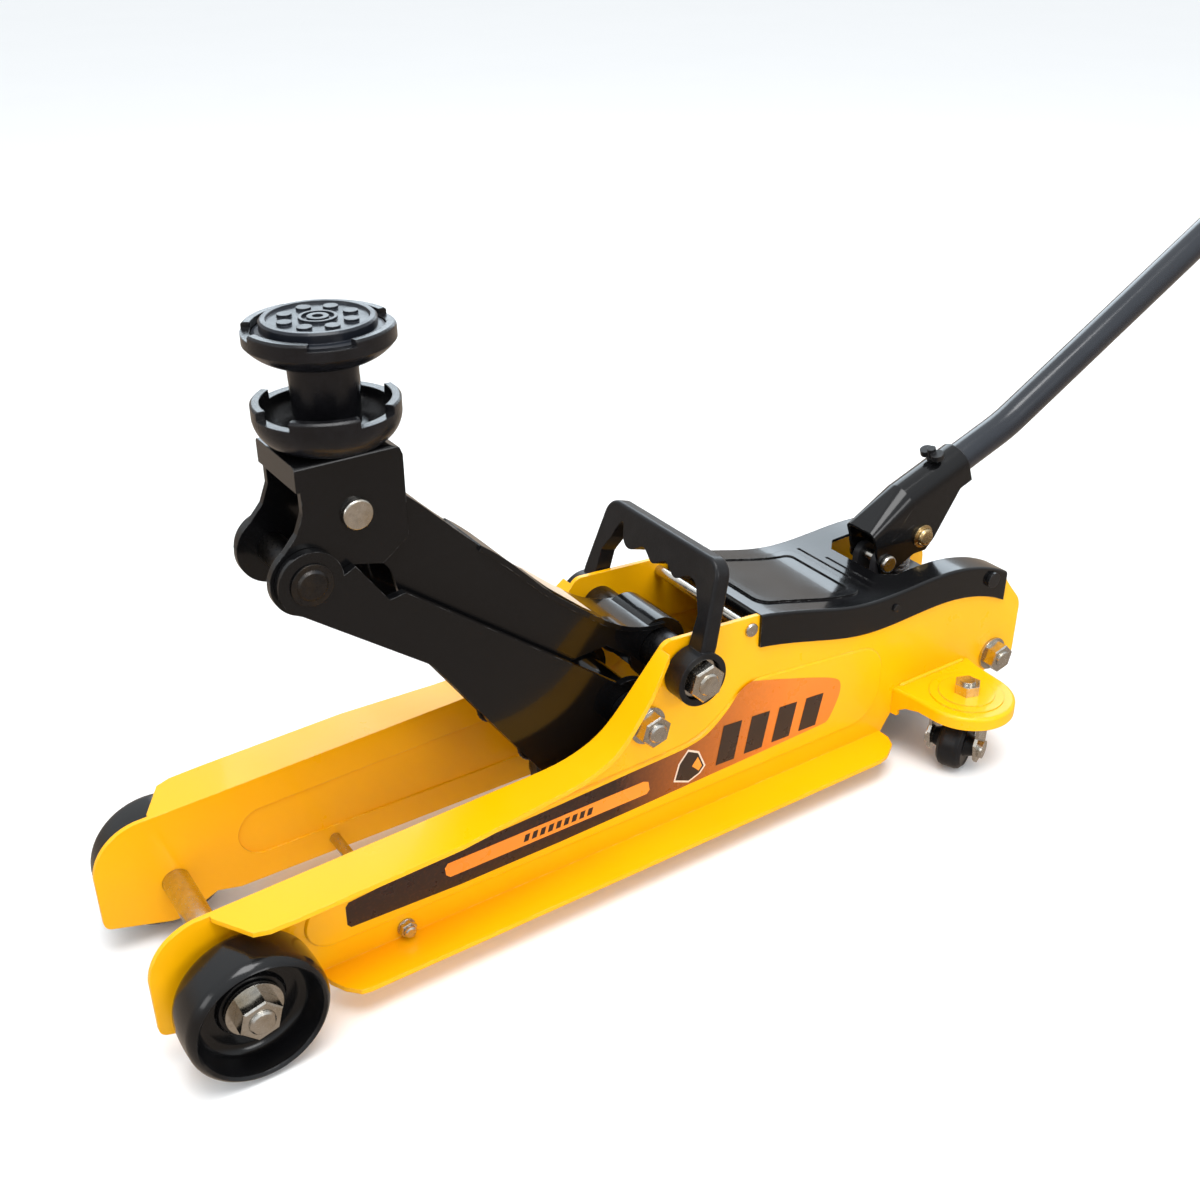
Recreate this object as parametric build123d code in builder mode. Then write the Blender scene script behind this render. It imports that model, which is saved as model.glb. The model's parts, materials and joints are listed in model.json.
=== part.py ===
from build123d import *
from math import atan2, cos, degrees, hypot, radians, sin
import os

# Hydraulic trolley jack with a low two-rail chassis, a parallelogram lift arm,
# a turning saddle with a tall padded adaptor, swivelling castors and a pump lever.
# Millimetres. +Z is up, the saddle end faces -Y, the lever end faces +Y, and the
# side plate at +X is called left. X = 0 is the middle plane and Z = 0 the floor.

os.makedirs("parts", exist_ok=True)

# ---------------------------------------------------------------- driving sizes
wheel_radius = 38.0            # front wheels
wheel_width = 31.5
web_outer = 48.2               # outer face of each side plate's web, from X = 0
plate = 3.0                    # side plate sheet
flange_reach = 27.5            # widest part of the top flange, out from the web
foot_reach = 26.0              # bottom flange, out from the web
rail_bottom = 17.0
running = 0.05                 # radial clearance of a turning fit
gap = 0.3                      # side clearance between moving pieces

nose_reach = 42.5              # side plates, ahead of the front axle
lift_pivot = (258.5, 99.0)     # (distance behind the front axle, height)
link_pin = (71.5, 239.3)       # lift arm to saddle bracket
link_offset = (28.5, 28.5)     # from each lower pivot to the upper pivot above it
crank_pin = (238.0, 38.0)      # ram crosshead to lift arm
saddle_station = 100.0
tie_rod = (96.0, 26.0)
top_bar_place = (334.5, 138.5)
rear_bolt = (560.0, 47.0)
saddle_top = 298.0             # top face of the saddle bracket
castor_x = 80.5
castor_station = 500.0
castor_radius = 18.0
castor_trail = 9.0
castor_angle = -66.0           # the left castor's trail, from +X towards +Y
socket_pivot = (481.5, 126.0)
roller_axle = (513.0, 138.0)
socket_start = (510.0, 163.8)  # a point on the lever's lower axis
lower_elevation = 20.0
upper_elevation = 29.0
lever_bend_at = 92.6           # along the lower axis, from socket_start
lever_upper_length = 470.0
lever_radius = 11.0
grip_radius = 15.0

# ------------------------------------------------------------- derived places
web_inner = web_outer - plate
lower_dir = (cos(radians(lower_elevation)), sin(radians(lower_elevation)))
upper_dir = (cos(radians(upper_elevation)), sin(radians(upper_elevation)))
bend_point = (
    socket_start[0] + lever_bend_at * lower_dir[0],
    socket_start[1] + lever_bend_at * lower_dir[1],
)
lever_end = (
    bend_point[0] + lever_upper_length * upper_dir[0],
    bend_point[1] + lever_upper_length * upper_dir[1],
)
rear_reach = lever_end[0] + grip_radius * upper_dir[1]
axle_y = (nose_reach - rear_reach) / 2      # puts Y = 0 in the middle of the length

arm_length = hypot(lift_pivot[0] - link_pin[0], link_pin[1] - lift_pivot[1])
arm_dir = (
    (link_pin[0] - lift_pivot[0]) / arm_length,
    (link_pin[1] - lift_pivot[1]) / arm_length,
)
upper_pivot = (lift_pivot[0] + link_offset[0], lift_pivot[1] + link_offset[1])
bracket_pin = (link_pin[0] + link_offset[0], link_pin[1] + link_offset[1])


def at(station, height):
    """A point of a side view: a distance behind the front axle, and a height."""
    return (axle_y + station, height)


def places(points):
    return [at(station, height) for station, height in points]


def along_arm(pivot, reach, rise):
    """A point reach along the lift arm's direction from a pivot, and rise above it."""
    station = pivot[0] + reach * arm_dir[0] + rise * arm_dir[1]
    height = pivot[1] + reach * arm_dir[1] - rise * arm_dir[0]
    return at(station, height)


def side_view(x):
    """The plane X = x, whose own axes are +Y and +Z."""
    return Plane.YZ.offset(x)


def turned_about_x(station, height):
    """A plane through a cross axle, whose own axes are +X and +Z."""
    return Plane(origin=(0, axle_y + station, height), x_dir=(1, 0, 0), z_dir=(0, -1, 0))


def cross_axis(station, height):
    return Axis(origin=(0, axle_y + station, height), direction=(1, 0, 0))


def turned_about_z(x, station):
    """A plane through an upright axis, whose own axes are +X and +Z."""
    return Plane(origin=(x, axle_y + station, 0), x_dir=(1, 0, 0), z_dir=(0, -1, 0))


def upright_axis(x, station):
    return Axis(origin=(x, axle_y + station, 0), direction=(0, 0, 1))


def save(piece, name):
    piece.label = name
    export_step(piece, f"parts/{name}.step")


def cross_rod(station, height, radius, reach):
    """A plain round bar across the jack, out to reach on both sides."""
    with BuildPart() as rod:
        with BuildSketch(side_view(0)):
            with Locations(at(station, height)):
                Circle(radius)
        extrude(amount=reach, both=True)
        chamfer(rod.edges().filter_by(GeomType.CIRCLE), 0.8)
    return rod.part


def cross_shaft(station, height, radius, reach, tip_radius, tip):
    """A round shaft across the jack with a narrower threaded tip at each end."""
    with BuildPart() as shaft:
        with BuildSketch(side_view(0)):
            with Locations(at(station, height)):
                Circle(radius)
        extrude(amount=reach, both=True)
        with BuildSketch(side_view(0)):
            with Locations(at(station, height)):
                Circle(tip_radius)
        extrude(amount=tip, both=True)
        ends = shaft.faces().filter_by(Axis.X).sort_by(Axis.X)
        chamfer(ends[0].edges() + ends[-1].edges(), 1.1)
    return shaft.part


def cross_tubes(station, height, radius, bore, start, end):
    """The same short tube on both sides of the jack, from X = start to X = end."""
    with BuildPart() as tubes:
        for side in (1, -1):
            with BuildSketch(side_view(side * start)):
                with Locations(at(station, height)):
                    Circle(radius)
                    Circle(bore, mode=Mode.SUBTRACT)
            extrude(amount=side * (end - start))
    return tubes.part


def cross_nuts(station, height, flats, washer_radius, bore, seat, nut_height, washer=1.6):
    """A washer and a hexagon nut on both ends of a cross shaft, as one piece a side."""
    with BuildPart() as nuts:
        for side in (1, -1):
            with BuildSketch(side_view(side * seat)):
                with Locations(at(station, height)):
                    Circle(washer_radius)
                    Circle(bore, mode=Mode.SUBTRACT)
            extrude(amount=side * washer)
            with BuildSketch(side_view(side * (seat + washer))):
                with Locations(at(station, height)):
                    RegularPolygon(flats / 2, 6, major_radius=False, rotation=15)
                    Circle(bore, mode=Mode.SUBTRACT)
            extrude(amount=side * nut_height)
        ends = nuts.faces().filter_by(Axis.X).sort_by(Axis.X)
        corners = ends[0].outer_wire().edges() + ends[-1].outer_wire().edges()
        chamfer(corners, flats * 0.045)
    return nuts.part


# ---------------------------------------------------------------- side plates
rail_rise = 0.038              # the rails climb slightly towards the rear
rail_top = 85.3
cover_drop = 4.0               # web edge below the cover's top face
panel_relief = 1.2             # pressed panel that stiffens the web
cover_line = [(341, 147), (385, 137), (428, 127.5), (470, 127.3), (505, 128), (540, 121.5), (562, 112)]


def rail_edge(station):
    return rail_top + rail_rise * station


def web_outline():
    """Side-view outline of one web."""
    under_cover = [(station, height - cover_drop) for station, height in cover_line]
    with BuildSketch() as shape:
        with BuildLine():
            Line(at(36, rail_bottom), at(455, rail_bottom))
            Line(at(455, rail_bottom), at(466, 34))
            Line(at(466, 34), at(573, 34))
            ThreePointArc(at(573, 34), at(580.1, 36.9), at(583, 44))
            Line(at(583, 44), at(583, 76))
            Spline(*places([(583, 76), (575, 92), (562, 108)]), tangents=[(0, 1), (-0.62, 0.78)])
            Spline(*reversed(places(under_cover)))
            Line(at(341, 143), at(341, 146.5))
            Line(at(341, 146.5), at(275, 150.6))
            ThreePointArc(at(275, 150.6), at(270.8, 149.6), at(267.6, 146.6))
            Spline(
                *places([(267.6, 146.6), (255, 132.3), (240, 115.3), (226, 103), (208, 95.5)]),
                at(170, rail_edge(170)),
                tangents=[(-0.66, -0.75), (-1, -rail_rise)],
            )
            Line(at(170, rail_edge(170)), at(-12, rail_edge(-12)))
            ThreePointArc(at(-12, rail_edge(-12)), at(-33.5, 76.3), at(-nose_reach, 58))
            Line(at(-nose_reach, 58), at(-nose_reach, 27))
            ThreePointArc(at(-nose_reach, 27), at(-41.2, 23.4), at(-38, 21.5))
            Line(at(-38, 21.5), at(-8, 12.2))
            ThreePointArc(at(-8, 12.2), at(1, 11.5), at(9, 14.5))
            Line(at(9, 14.5), at(22, 20.5))
            Line(at(22, 20.5), at(36, rail_bottom))
        make_face()
    return shape.sketch


def pressed_panel_outline():
    """Outline of the pressed panel: low along the rail, wide under the cover."""
    with BuildSketch() as shape:
        with BuildLine():
            Line(at(54, 35), at(425, 35))
            ThreePointArc(at(425, 35), at(443, 42.5), at(450, 60))
            Line(at(450, 60), at(450, 72))
            ThreePointArc(at(450, 72), at(443.5, 87), at(429, 93.5))
            Line(at(429, 93.5), at(349, 101.5))
            Spline(
                *places([(349, 101.5), (322, 92.5), (300, 78), (270, 73.5)]),
                tangents=[(-1, 0.1), (-1, -0.05)],
            )
            Line(at(270, 73.5), at(54, 66.5))
            ThreePointArc(at(54, 66.5), at(38.6, 50.6), at(54, 35))
        make_face()
    return shape.sketch


def top_flange_plan():
    with BuildSketch() as shape:
        with BuildLine():
            Polyline(
                *[
                    (web_inner, axle_y - 8),
                    (web_outer + 2, axle_y - 8),
                    (web_outer + flange_reach - 3.5, axle_y + 5),
                    (web_outer + flange_reach - 0.6, axle_y + 13),
                    (web_outer + flange_reach, axle_y + 30),
                    (web_outer + flange_reach, axle_y + 120),
                    (web_outer + 22, axle_y + 180),
                    (web_outer + 19, axle_y + 222),
                    (web_outer + 13.5, axle_y + 254),
                    (web_outer + 8, axle_y + 268),
                    (web_inner, axle_y + 268),
                ],
                close=True,
            )
        make_face()
    return shape.sketch


def side_plate_left():
    """Pressed steel channel: web, outward top and bottom flanges, pressed panel."""
    web = web_outline()
    with BuildPart() as side:
        with BuildSketch(side_view(web_inner)):
            add(web)
            add(web.moved(Location((2.2, -2.8))), mode=Mode.SUBTRACT)
        extrude(amount=plate + flange_reach + 2)
        with BuildSketch(Plane.XY.offset(rail_top - 12)):
            add(top_flange_plan())
        extrude(amount=90, mode=Mode.INTERSECT)
        with BuildSketch(side_view(web_inner)):
            add(web)
        extrude(amount=plate)
        with BuildSketch(Plane.XY.offset(rail_bottom)):
            with BuildLine():
                Polyline(
                    (web_inner, axle_y + 44),
                    (web_outer + 9, axle_y + 46),
                    (web_outer + 18, axle_y + 50.5),
                    (web_outer + foot_reach - 1, axle_y + 57),
                    (web_outer + foot_reach, axle_y + 62),
                    (web_outer + foot_reach, axle_y + 432),
                    (web_outer + foot_reach - 2, axle_y + 440),
                    (web_outer + 17, axle_y + 451),
                    (web_outer + 9, axle_y + 455),
                    (web_inner, axle_y + 455),
                    close=True,
                )
            make_face()
        extrude(amount=plate)
        with BuildSketch(side_view(web_outer)):
            add(pressed_panel_outline())
        extrude(amount=panel_relief)
        with BuildSketch(side_view(web_inner)):
            add(pressed_panel_outline())
        extrude(amount=panel_relief, mode=Mode.SUBTRACT)
        flat_faces = side.faces().filter_by(Axis.X)
        relief = web_outer + panel_relief
        pressed = flat_faces.filter_by_position(Axis.X, relief - 0.1, relief + 0.1)
        chamfer(pressed.sort_by(SortBy.AREA)[-1].outer_wire().edges(), 0.9)
        bores = [(at(0, wheel_radius), 8.0), (at(*tie_rod), 3.5), (at(*top_bar_place), 3.5)]
        bores += [(at(*lift_pivot), 8.0), (at(*upper_pivot), 8.0), (at(*rear_bolt), 6.0)]
        for spot, radius in bores:
            with BuildSketch(side_view(web_inner - 1)):
                with Locations(spot):
                    Circle(radius)
            extrude(amount=plate + 3, mode=Mode.SUBTRACT)
    return side.part


left_plate = side_plate_left()
save(left_plate, "side_plate_left")
with BuildPart() as right_plate:
    mirror(left_plate, about=Plane.YZ)
save(right_plate.part, "side_plate_right")

# ------------------------------------------------------ front axle and wheels
axle_radius = 8.0
wheel_inner = web_outer + 5.2
hub_face = wheel_inner + wheel_width - 15.5
axle_tip = wheel_inner + wheel_width

front_axle = cross_shaft(0, wheel_radius, axle_radius, hub_face + 1, 7.0, axle_tip)
save(front_axle, "front_axle")
save(
    cross_nuts(0, wheel_radius, 21, 15.5, 7.0, hub_face + 1, 10, washer=2.5),
    "axle_nuts",
)


def front_wheel(side):
    """Barrel wheel with a deep dish on the outside and a hub around the axle."""
    inner = wheel_inner
    outer = wheel_inner + wheel_width
    rim = 4.2
    dish = wheel_radius - rim
    with BuildPart() as wheel:
        with BuildSketch(turned_about_x(0, wheel_radius)):
            with BuildLine():
                Line((inner, axle_radius + running), (inner, wheel_radius - 6))
                ThreePointArc(
                    (inner, wheel_radius - 6),
                    (inner + 2.2, wheel_radius - 2.1),
                    (inner + 7, wheel_radius - 0.3),
                )
                ThreePointArc(
                    (inner + 7, wheel_radius - 0.3),
                    ((inner + outer) / 2, wheel_radius),
                    (outer - 7, wheel_radius - 0.3),
                )
                ThreePointArc(
                    (outer - 7, wheel_radius - 0.3),
                    (outer - 2.4, wheel_radius - 1.7),
                    (outer, wheel_radius - 4),
                )
                Line((outer, wheel_radius - 4), (outer - 1.5, dish - 1.2))
                Line((outer - 1.5, dish - 1.2), (outer - 13, dish - 3))
                ThreePointArc(
                    (outer - 13, dish - 3),
                    (outer - 16.5, dish - 5),
                    (outer - 18, dish - 9),
                )
                Line((outer - 18, dish - 9), (outer - 18, 19))
                Line((outer - 18, 19), (hub_face, 17.5))
                Line((hub_face, 17.5), (hub_face, axle_radius + running))
                Line((hub_face, axle_radius + running), (inner, axle_radius + running))
            make_face()
        revolve(axis=cross_axis(0, wheel_radius))
        if side < 0:
            mirror(wheel.part, about=Plane.YZ, mode=Mode.REPLACE)
    return wheel.part


save(front_wheel(1), "front_wheel_left")
save(front_wheel(-1), "front_wheel_right")

# ------------------------------------------------------------- tie rod and bar
save(cross_rod(*tie_rod, 3.5, web_outer + 7), "tie_rod")
save(cross_nuts(*tie_rod, 9, 5.4, 3.5, web_outer, 3.5, washer=1), "tie_rod_nuts")
with BuildPart() as top_bar:
    with BuildSketch(side_view(0)):
        with Locations(at(*top_bar_place)):
            Circle(3.5)
    extrude(amount=web_outer, both=True)
    for side in (1, -1):
        with BuildSketch(side_view(side * web_outer)):
            with Locations(at(*top_bar_place)):
                Circle(4.6)
        extrude(amount=side * 2)
    heads = top_bar.faces().filter_by(Axis.X).sort_by(Axis.X)
    fillet(heads[0].edges() + heads[-1].edges(), 1.4)
save(top_bar.part, "top_bar")

# ------------------------------------------------------------------ top cover
cover_half = web_outer + 2.2
cover_sheet = 2.0
skirt_depth = 22.0
notch_half = 31.0
notch_front = 464.0
panel_lift = 1.4


def cover_band(rise, fall):
    """Side-view band from rise above the cover line down to fall below it."""
    upper = places([(station, height + rise) for station, height in cover_line])
    lower = places([(station, height - fall) for station, height in cover_line])
    with BuildSketch() as shape:
        with BuildLine():
            Spline(*upper)
            Line(upper[-1], lower[-1])
            Spline(*reversed(lower))
            Line(lower[0], upper[0])
        make_face()
    return shape.sketch


def raised_panel():
    """Raised panel in the cover ahead of the lever notch, with a sunk middle."""
    half = 36.0
    front = 352.0
    rear = 439.0
    middle = axle_y + (front + rear) / 2
    with BuildPart() as panel:
        with BuildSketch(side_view(0)):
            add(cover_band(panel_lift, 1))
        extrude(amount=half, both=True)
        with BuildSketch(Plane.XY.offset(110)):
            with Locations((0, middle)):
                RectangleRounded(2 * half, rear - front, 9)
        extrude(amount=60, mode=Mode.INTERSECT)
        with BuildPart(mode=Mode.SUBTRACT):
            with BuildSketch(side_view(0)):
                add(cover_band(panel_lift + 1, -0.5))
            extrude(amount=half, both=True)
            with BuildSketch(Plane.XY.offset(110)):
                with Locations((0, middle)):
                    RectangleRounded(2 * half - 12, rear - front - 12, 5)
            extrude(amount=60, mode=Mode.INTERSECT)
    return panel.part


def cover_grooves():
    """Two shallow grooves across the cover, behind the raised panel."""
    with BuildPart() as grooves:
        with BuildSketch(side_view(0)):
            add(cover_band(1, 0.7))
        extrude(amount=37, both=True)
        with BuildSketch(Plane.XY.offset(110)):
            with Locations((0, axle_y + 446)):
                Rectangle(72, 2.2)
            with Locations((8, axle_y + 453)):
                Rectangle(46, 2.2)
        extrude(amount=60, mode=Mode.INTERSECT)
    return grooves.part


def top_cover():
    with BuildPart() as cover:
        with BuildSketch(side_view(0)):
            add(cover_band(0, skirt_depth))
        extrude(amount=cover_half, both=True)
        long_edges = cover.edges().filter_by(GeomType.BSPLINE).group_by(Axis.Z)[-1]
        fillet(long_edges, 1.9)
        with BuildSketch(side_view(0)):
            add(cover_band(-cover_sheet, skirt_depth + 5))
        extrude(amount=web_outer + 0.2, both=True, mode=Mode.SUBTRACT)
        with BuildSketch(side_view(0)):
            with BuildLine():
                Polyline(at(341, 145.2), at(343, 144.8), at(343, 138), at(341, 138), close=True)
            make_face()
        extrude(amount=web_inner - 1, both=True)
        with BuildSketch(Plane.XY.offset(95)):
            with BuildLine():
                Polyline(
                    (-notch_half, axle_y + 600),
                    (-notch_half, axle_y + notch_front + 9),
                    (-notch_half + 9, axle_y + notch_front),
                    (notch_half - 9, axle_y + notch_front),
                    (notch_half, axle_y + notch_front + 9),
                    (notch_half, axle_y + 600),
                    close=True,
                )
            make_face()
        extrude(amount=60, mode=Mode.SUBTRACT)
        add(raised_panel())
        add(cover_grooves(), mode=Mode.SUBTRACT)
    return cover.part


save(top_cover(), "top_cover")
with BuildPart() as cover_bolts:
    for side in (1, -1):
        for station, height, radius in ((546, 111, 5.5), (455, 117, 2.6)):
            with BuildSketch(side_view(side * cover_half)):
                with Locations(at(station, height)):
                    Circle(radius)
            extrude(amount=side * radius * 0.5)
save(cover_bolts.part, "cover_bolts")

# ------------------------------------------------------------- pivot shafts
carry_boss = 14.0              # thickness of the carry handle's bosses
boss_recess = 5.0              # depth that the end nuts sit in the bosses
boss_inner = web_outer + 1.2
boss_outer = boss_inner + carry_boss
upper_nut_seat = boss_outer - boss_recess + gap

save(cross_shaft(*lift_pivot, 8.0, web_outer, 6.0, web_outer + 13), "lift_pivot_shaft")
save(
    cross_shaft(*upper_pivot, 8.0, upper_nut_seat, 7.0, upper_nut_seat + 12),
    "upper_pivot_shaft",
)
save(cross_nuts(*upper_pivot, 21, 12.5, 7.0, upper_nut_seat, 9), "upper_pivot_nuts")
arm_inner = 24.0
arm_plate = 5.0
arm_outer = arm_inner + arm_plate
upper_half = 19.0
with BuildPart() as spacers:
    add(cross_tubes(0, wheel_radius, 12, axle_radius, web_outer, wheel_inner - gap))
    add(cross_tubes(*lift_pivot, 13, 8.0, arm_outer + gap, web_inner))
    add(cross_tubes(*upper_pivot, 13, 8.0, upper_half + gap, web_inner))
    add(cross_tubes(*upper_pivot, 13, 8.0, web_outer, boss_inner - 0.1))
    add(cross_tubes(*rear_bolt, 10, 6, 10, web_inner))
save(spacers.part, "chassis_spacers")

# ------------------------------------------------------------------ lift arm
nose_round = 17.0
crank_round = 15.0
hub_round = 20.0


def lift_arm_plate(side):
    """Bell-crank plate: a straight arm to the saddle and a crank under the pivot."""
    below = -16.5
    top_edge = [(0, 12), (183, 14.1), (189.5, 7.5), (217, 16.6)]
    with BuildPart() as arm:
        with BuildSketch(side_view(side * arm_inner)):
            with BuildLine():
                Polyline(
                    along_arm(lift_pivot, arm_length, below),
                    along_arm(lift_pivot, arm_length - 88, below),
                    at(crank_pin[0] - crank_round, crank_pin[1] + 4),
                    at(crank_pin[0] - 4, crank_pin[1] - crank_round + 1),
                    at(crank_pin[0] + crank_round, crank_pin[1] + 2),
                    at(crank_pin[0] + crank_round - 2, 58),
                    at(lift_pivot[0] + hub_round - 3, lift_pivot[1] - 8),
                    *[along_arm(lift_pivot, *spot) for spot in top_edge],
                    close=True,
                )
            make_face()
            for spot, radius in ((link_pin, nose_round), (crank_pin, crank_round), (lift_pivot, hub_round)):
                with Locations(at(*spot)):
                    Circle(radius)
            for spot, radius in ((link_pin, 8.0), (crank_pin, 7.0), (lift_pivot, 8.0 + running)):
                with Locations(at(*spot)):
                    Circle(radius, mode=Mode.SUBTRACT)
        extrude(amount=side * arm_plate)
    return arm.part


save(lift_arm_plate(1), "lift_arm_plate_left")
save(lift_arm_plate(-1), "lift_arm_plate_right")
brace = (196.0, 96.0)
with BuildPart() as lift_tubes:
    for spot, radius, bore in ((lift_pivot, 13, 8.0 + running), (brace, 9, 6)):
        with BuildSketch(side_view(0)):
            with Locations(at(*spot)):
                Circle(radius)
                Circle(bore, mode=Mode.SUBTRACT)
        extrude(amount=arm_inner, both=True)
save(lift_tubes.part, "lift_arm_tubes")
with BuildPart() as pin:
    with BuildSketch(side_view(0)):
        with Locations(at(*link_pin)):
            Circle(8.0)
    extrude(amount=arm_outer + 2.5, both=True)
    chamfer(pin.edges().filter_by(GeomType.CIRCLE), 1.0)
    for side in (1, -1):
        with BuildSketch(side_view(side * arm_outer)):
            with Locations(at(*link_pin)):
                Circle(11)
        extrude(amount=side * 1.2)
save(pin.part, "link_pin")
save(cross_rod(*crank_pin, 7.0, arm_outer), "crank_pin")

# ------------------------------------------------------------------ upper arm
upper_sheet = 3.0
top_edge_depth = 2.6


def upper_arm():
    """Channel under the saddle: two sides, a dished top plate and a pivot hub."""
    length = arm_length
    top_line = [(-5, 19.6), (7, 15.5), (20, 8), (36, 3), (56, 1.6), (78, 2.2)]
    top_line += [(100, 3.6), (123, 7.2), (155, 10.4), (186, 14.6), (208, 17.6), (222, 18.6)]
    low_line = [(222, -13), (196, -20), (180, -34), (64, -34), (38, -11.5), (18, -12)]
    with BuildPart() as arm:
        with BuildSketch(side_view(0)):
            with BuildLine():
                Spline(*[along_arm(upper_pivot, *spot) for spot in top_line])
                Line(along_arm(upper_pivot, *top_line[-1]), along_arm(upper_pivot, *low_line[0]))
                Polyline(*[along_arm(upper_pivot, *spot) for spot in low_line])
                Line(along_arm(upper_pivot, *low_line[-1]), along_arm(upper_pivot, *top_line[0]))
            make_face()
            with Locations(along_arm(upper_pivot, length, 0)):
                Circle(14)
            with Locations(at(*upper_pivot)):
                Circle(20)
        extrude(amount=upper_half, both=True)
        inner_top = [(reach, rise - upper_sheet) for reach, rise in top_line]
        with BuildSketch(side_view(0)):
            with BuildLine():
                Spline(*[along_arm(upper_pivot, *spot) for spot in inner_top])
                Polyline(
                    along_arm(upper_pivot, *inner_top[-1]),
                    along_arm(upper_pivot, 222, -60),
                    along_arm(upper_pivot, -4, -60),
                    along_arm(upper_pivot, *inner_top[0]),
                )
            make_face()
            with Locations(along_arm(upper_pivot, length + 3, 4)):
                Rectangle(50, 60, rotation=degrees(atan2(arm_dir[1], arm_dir[0])))
            with Locations(at(*upper_pivot)):
                Circle(17)
        extrude(amount=upper_half - upper_sheet, both=True, mode=Mode.SUBTRACT)
        with BuildSketch(side_view(0)):
            with Locations(at(*upper_pivot)):
                Circle(13)
        extrude(amount=upper_half, both=True)
        upper_edge = [(reach, rise + 0.6) for reach, rise in top_line[1:9]]
        under_edge = [(reach, rise - top_edge_depth) for reach, rise in top_line[1:9]]
        with BuildSketch(side_view(0)):
            with BuildLine():
                Spline(*[along_arm(upper_pivot, *spot) for spot in upper_edge])
                Line(along_arm(upper_pivot, *upper_edge[-1]), along_arm(upper_pivot, *under_edge[-1]))
                Spline(*[along_arm(upper_pivot, *spot) for spot in reversed(under_edge)])
                Line(along_arm(upper_pivot, *under_edge[0]), along_arm(upper_pivot, *upper_edge[0]))
            make_face()
        extrude(amount=upper_half + 1.8, both=True)
        with BuildSketch(side_view(0)):
            with Locations(at(*upper_pivot)):
                Circle(8.0 + running)
            with Locations(along_arm(upper_pivot, length, 0)):
                Circle(8.0 + gap)
        extrude(amount=upper_half, both=True, mode=Mode.SUBTRACT)
    return arm.part


save(upper_arm(), "upper_arm")

# ------------------------------------------------------- saddle bracket and pin
bracket_half = arm_inner - 0.5
bracket_sheet = 4.0


def saddle_bracket():
    """Folded bracket: level top, front lip, and two cheeks down to both arm pins."""
    front = 73.0
    rear = 127.0
    with BuildPart() as bracket:
        with BuildSketch(side_view(0)):
            with BuildLine():
                Polyline(
                    at(front, saddle_top),
                    at(rear - 6, saddle_top),
                    at(rear - 1.5, saddle_top - 2),
                    at(rear, saddle_top - 6),
                    at(rear, 248),
                    at(112, 237),
                    at(96, 241),
                    at(link_pin[0] + 8, link_pin[1] - 14),
                    at(link_pin[0] - 19, link_pin[1] + 4),
                    at(62, 256),
                    at(69, 264),
                    at(front, 274),
                    close=True,
                )
            make_face()
            with Locations(at(*link_pin)):
                Circle(nose_round + 2)
        extrude(amount=bracket_half, both=True)
        with BuildSketch(side_view(0)):
            with Locations(at(saddle_station, 240)):
                Rectangle(140, 2 * (saddle_top - bracket_sheet - 240))
        extrude(amount=bracket_half - bracket_sheet, both=True, mode=Mode.SUBTRACT)
        with BuildSketch(side_view(0)):
            with Locations(at(front + bracket_sheet / 2 - 2, saddle_top - 6.5)):
                Rectangle(bracket_sheet, 13)
        extrude(amount=bracket_half, both=True)
        edges = bracket.edges().filter_by(Axis.Y).group_by(Axis.Z)[-1]
        fillet(edges, 2.5)
        with BuildSketch(side_view(0)):
            with Locations(at(*link_pin)):
                Circle(8.0 + running)
            with Locations(at(*bracket_pin)):
                Circle(8.0)
        extrude(amount=bracket_half + 5, both=True, mode=Mode.SUBTRACT)
        with BuildSketch(Plane.XY.offset(saddle_top - 8)):
            with Locations((0, axle_y + saddle_station)):
                Circle(14 + running)
        extrude(amount=20, mode=Mode.SUBTRACT)
    return bracket.part


save(saddle_bracket(), "saddle_bracket")
with BuildPart() as silver_pin:
    with BuildSketch(side_view(0)):
        with Locations(at(*bracket_pin)):
            Circle(8.0)
    extrude(amount=bracket_half + 3.4, both=True)
    fillet(silver_pin.edges().filter_by(GeomType.CIRCLE), 1.2)
save(silver_pin.part, "bracket_pin")
# ------------------------------------------------------------- saddle and pad
cup_floor = saddle_top + gap
cup_radius = 36.0
adaptor_seat = cup_floor + 5.0
adaptor_cup = 340.0
pad_top = 359.7
pad_radius = 27.5


def rim_gaps(first_angle, half_angle=20):
    """Four wedges, a quarter turn apart, that part a cup's rim into tabs."""
    centre_y = axle_y + saddle_station
    with BuildSketch() as wedges:
        for quarter in range(4):
            middle = radians(first_angle + 90 * quarter)
            corners = [(8 * cos(middle), centre_y + 8 * sin(middle))]
            for turn in (-1, 1):
                angle = middle + turn * radians(half_angle)
                corners.append((60 * cos(angle), centre_y + 60 * sin(angle)))
            with BuildLine():
                Polyline(*corners, close=True)
            make_face()
    return wedges.sketch


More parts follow.
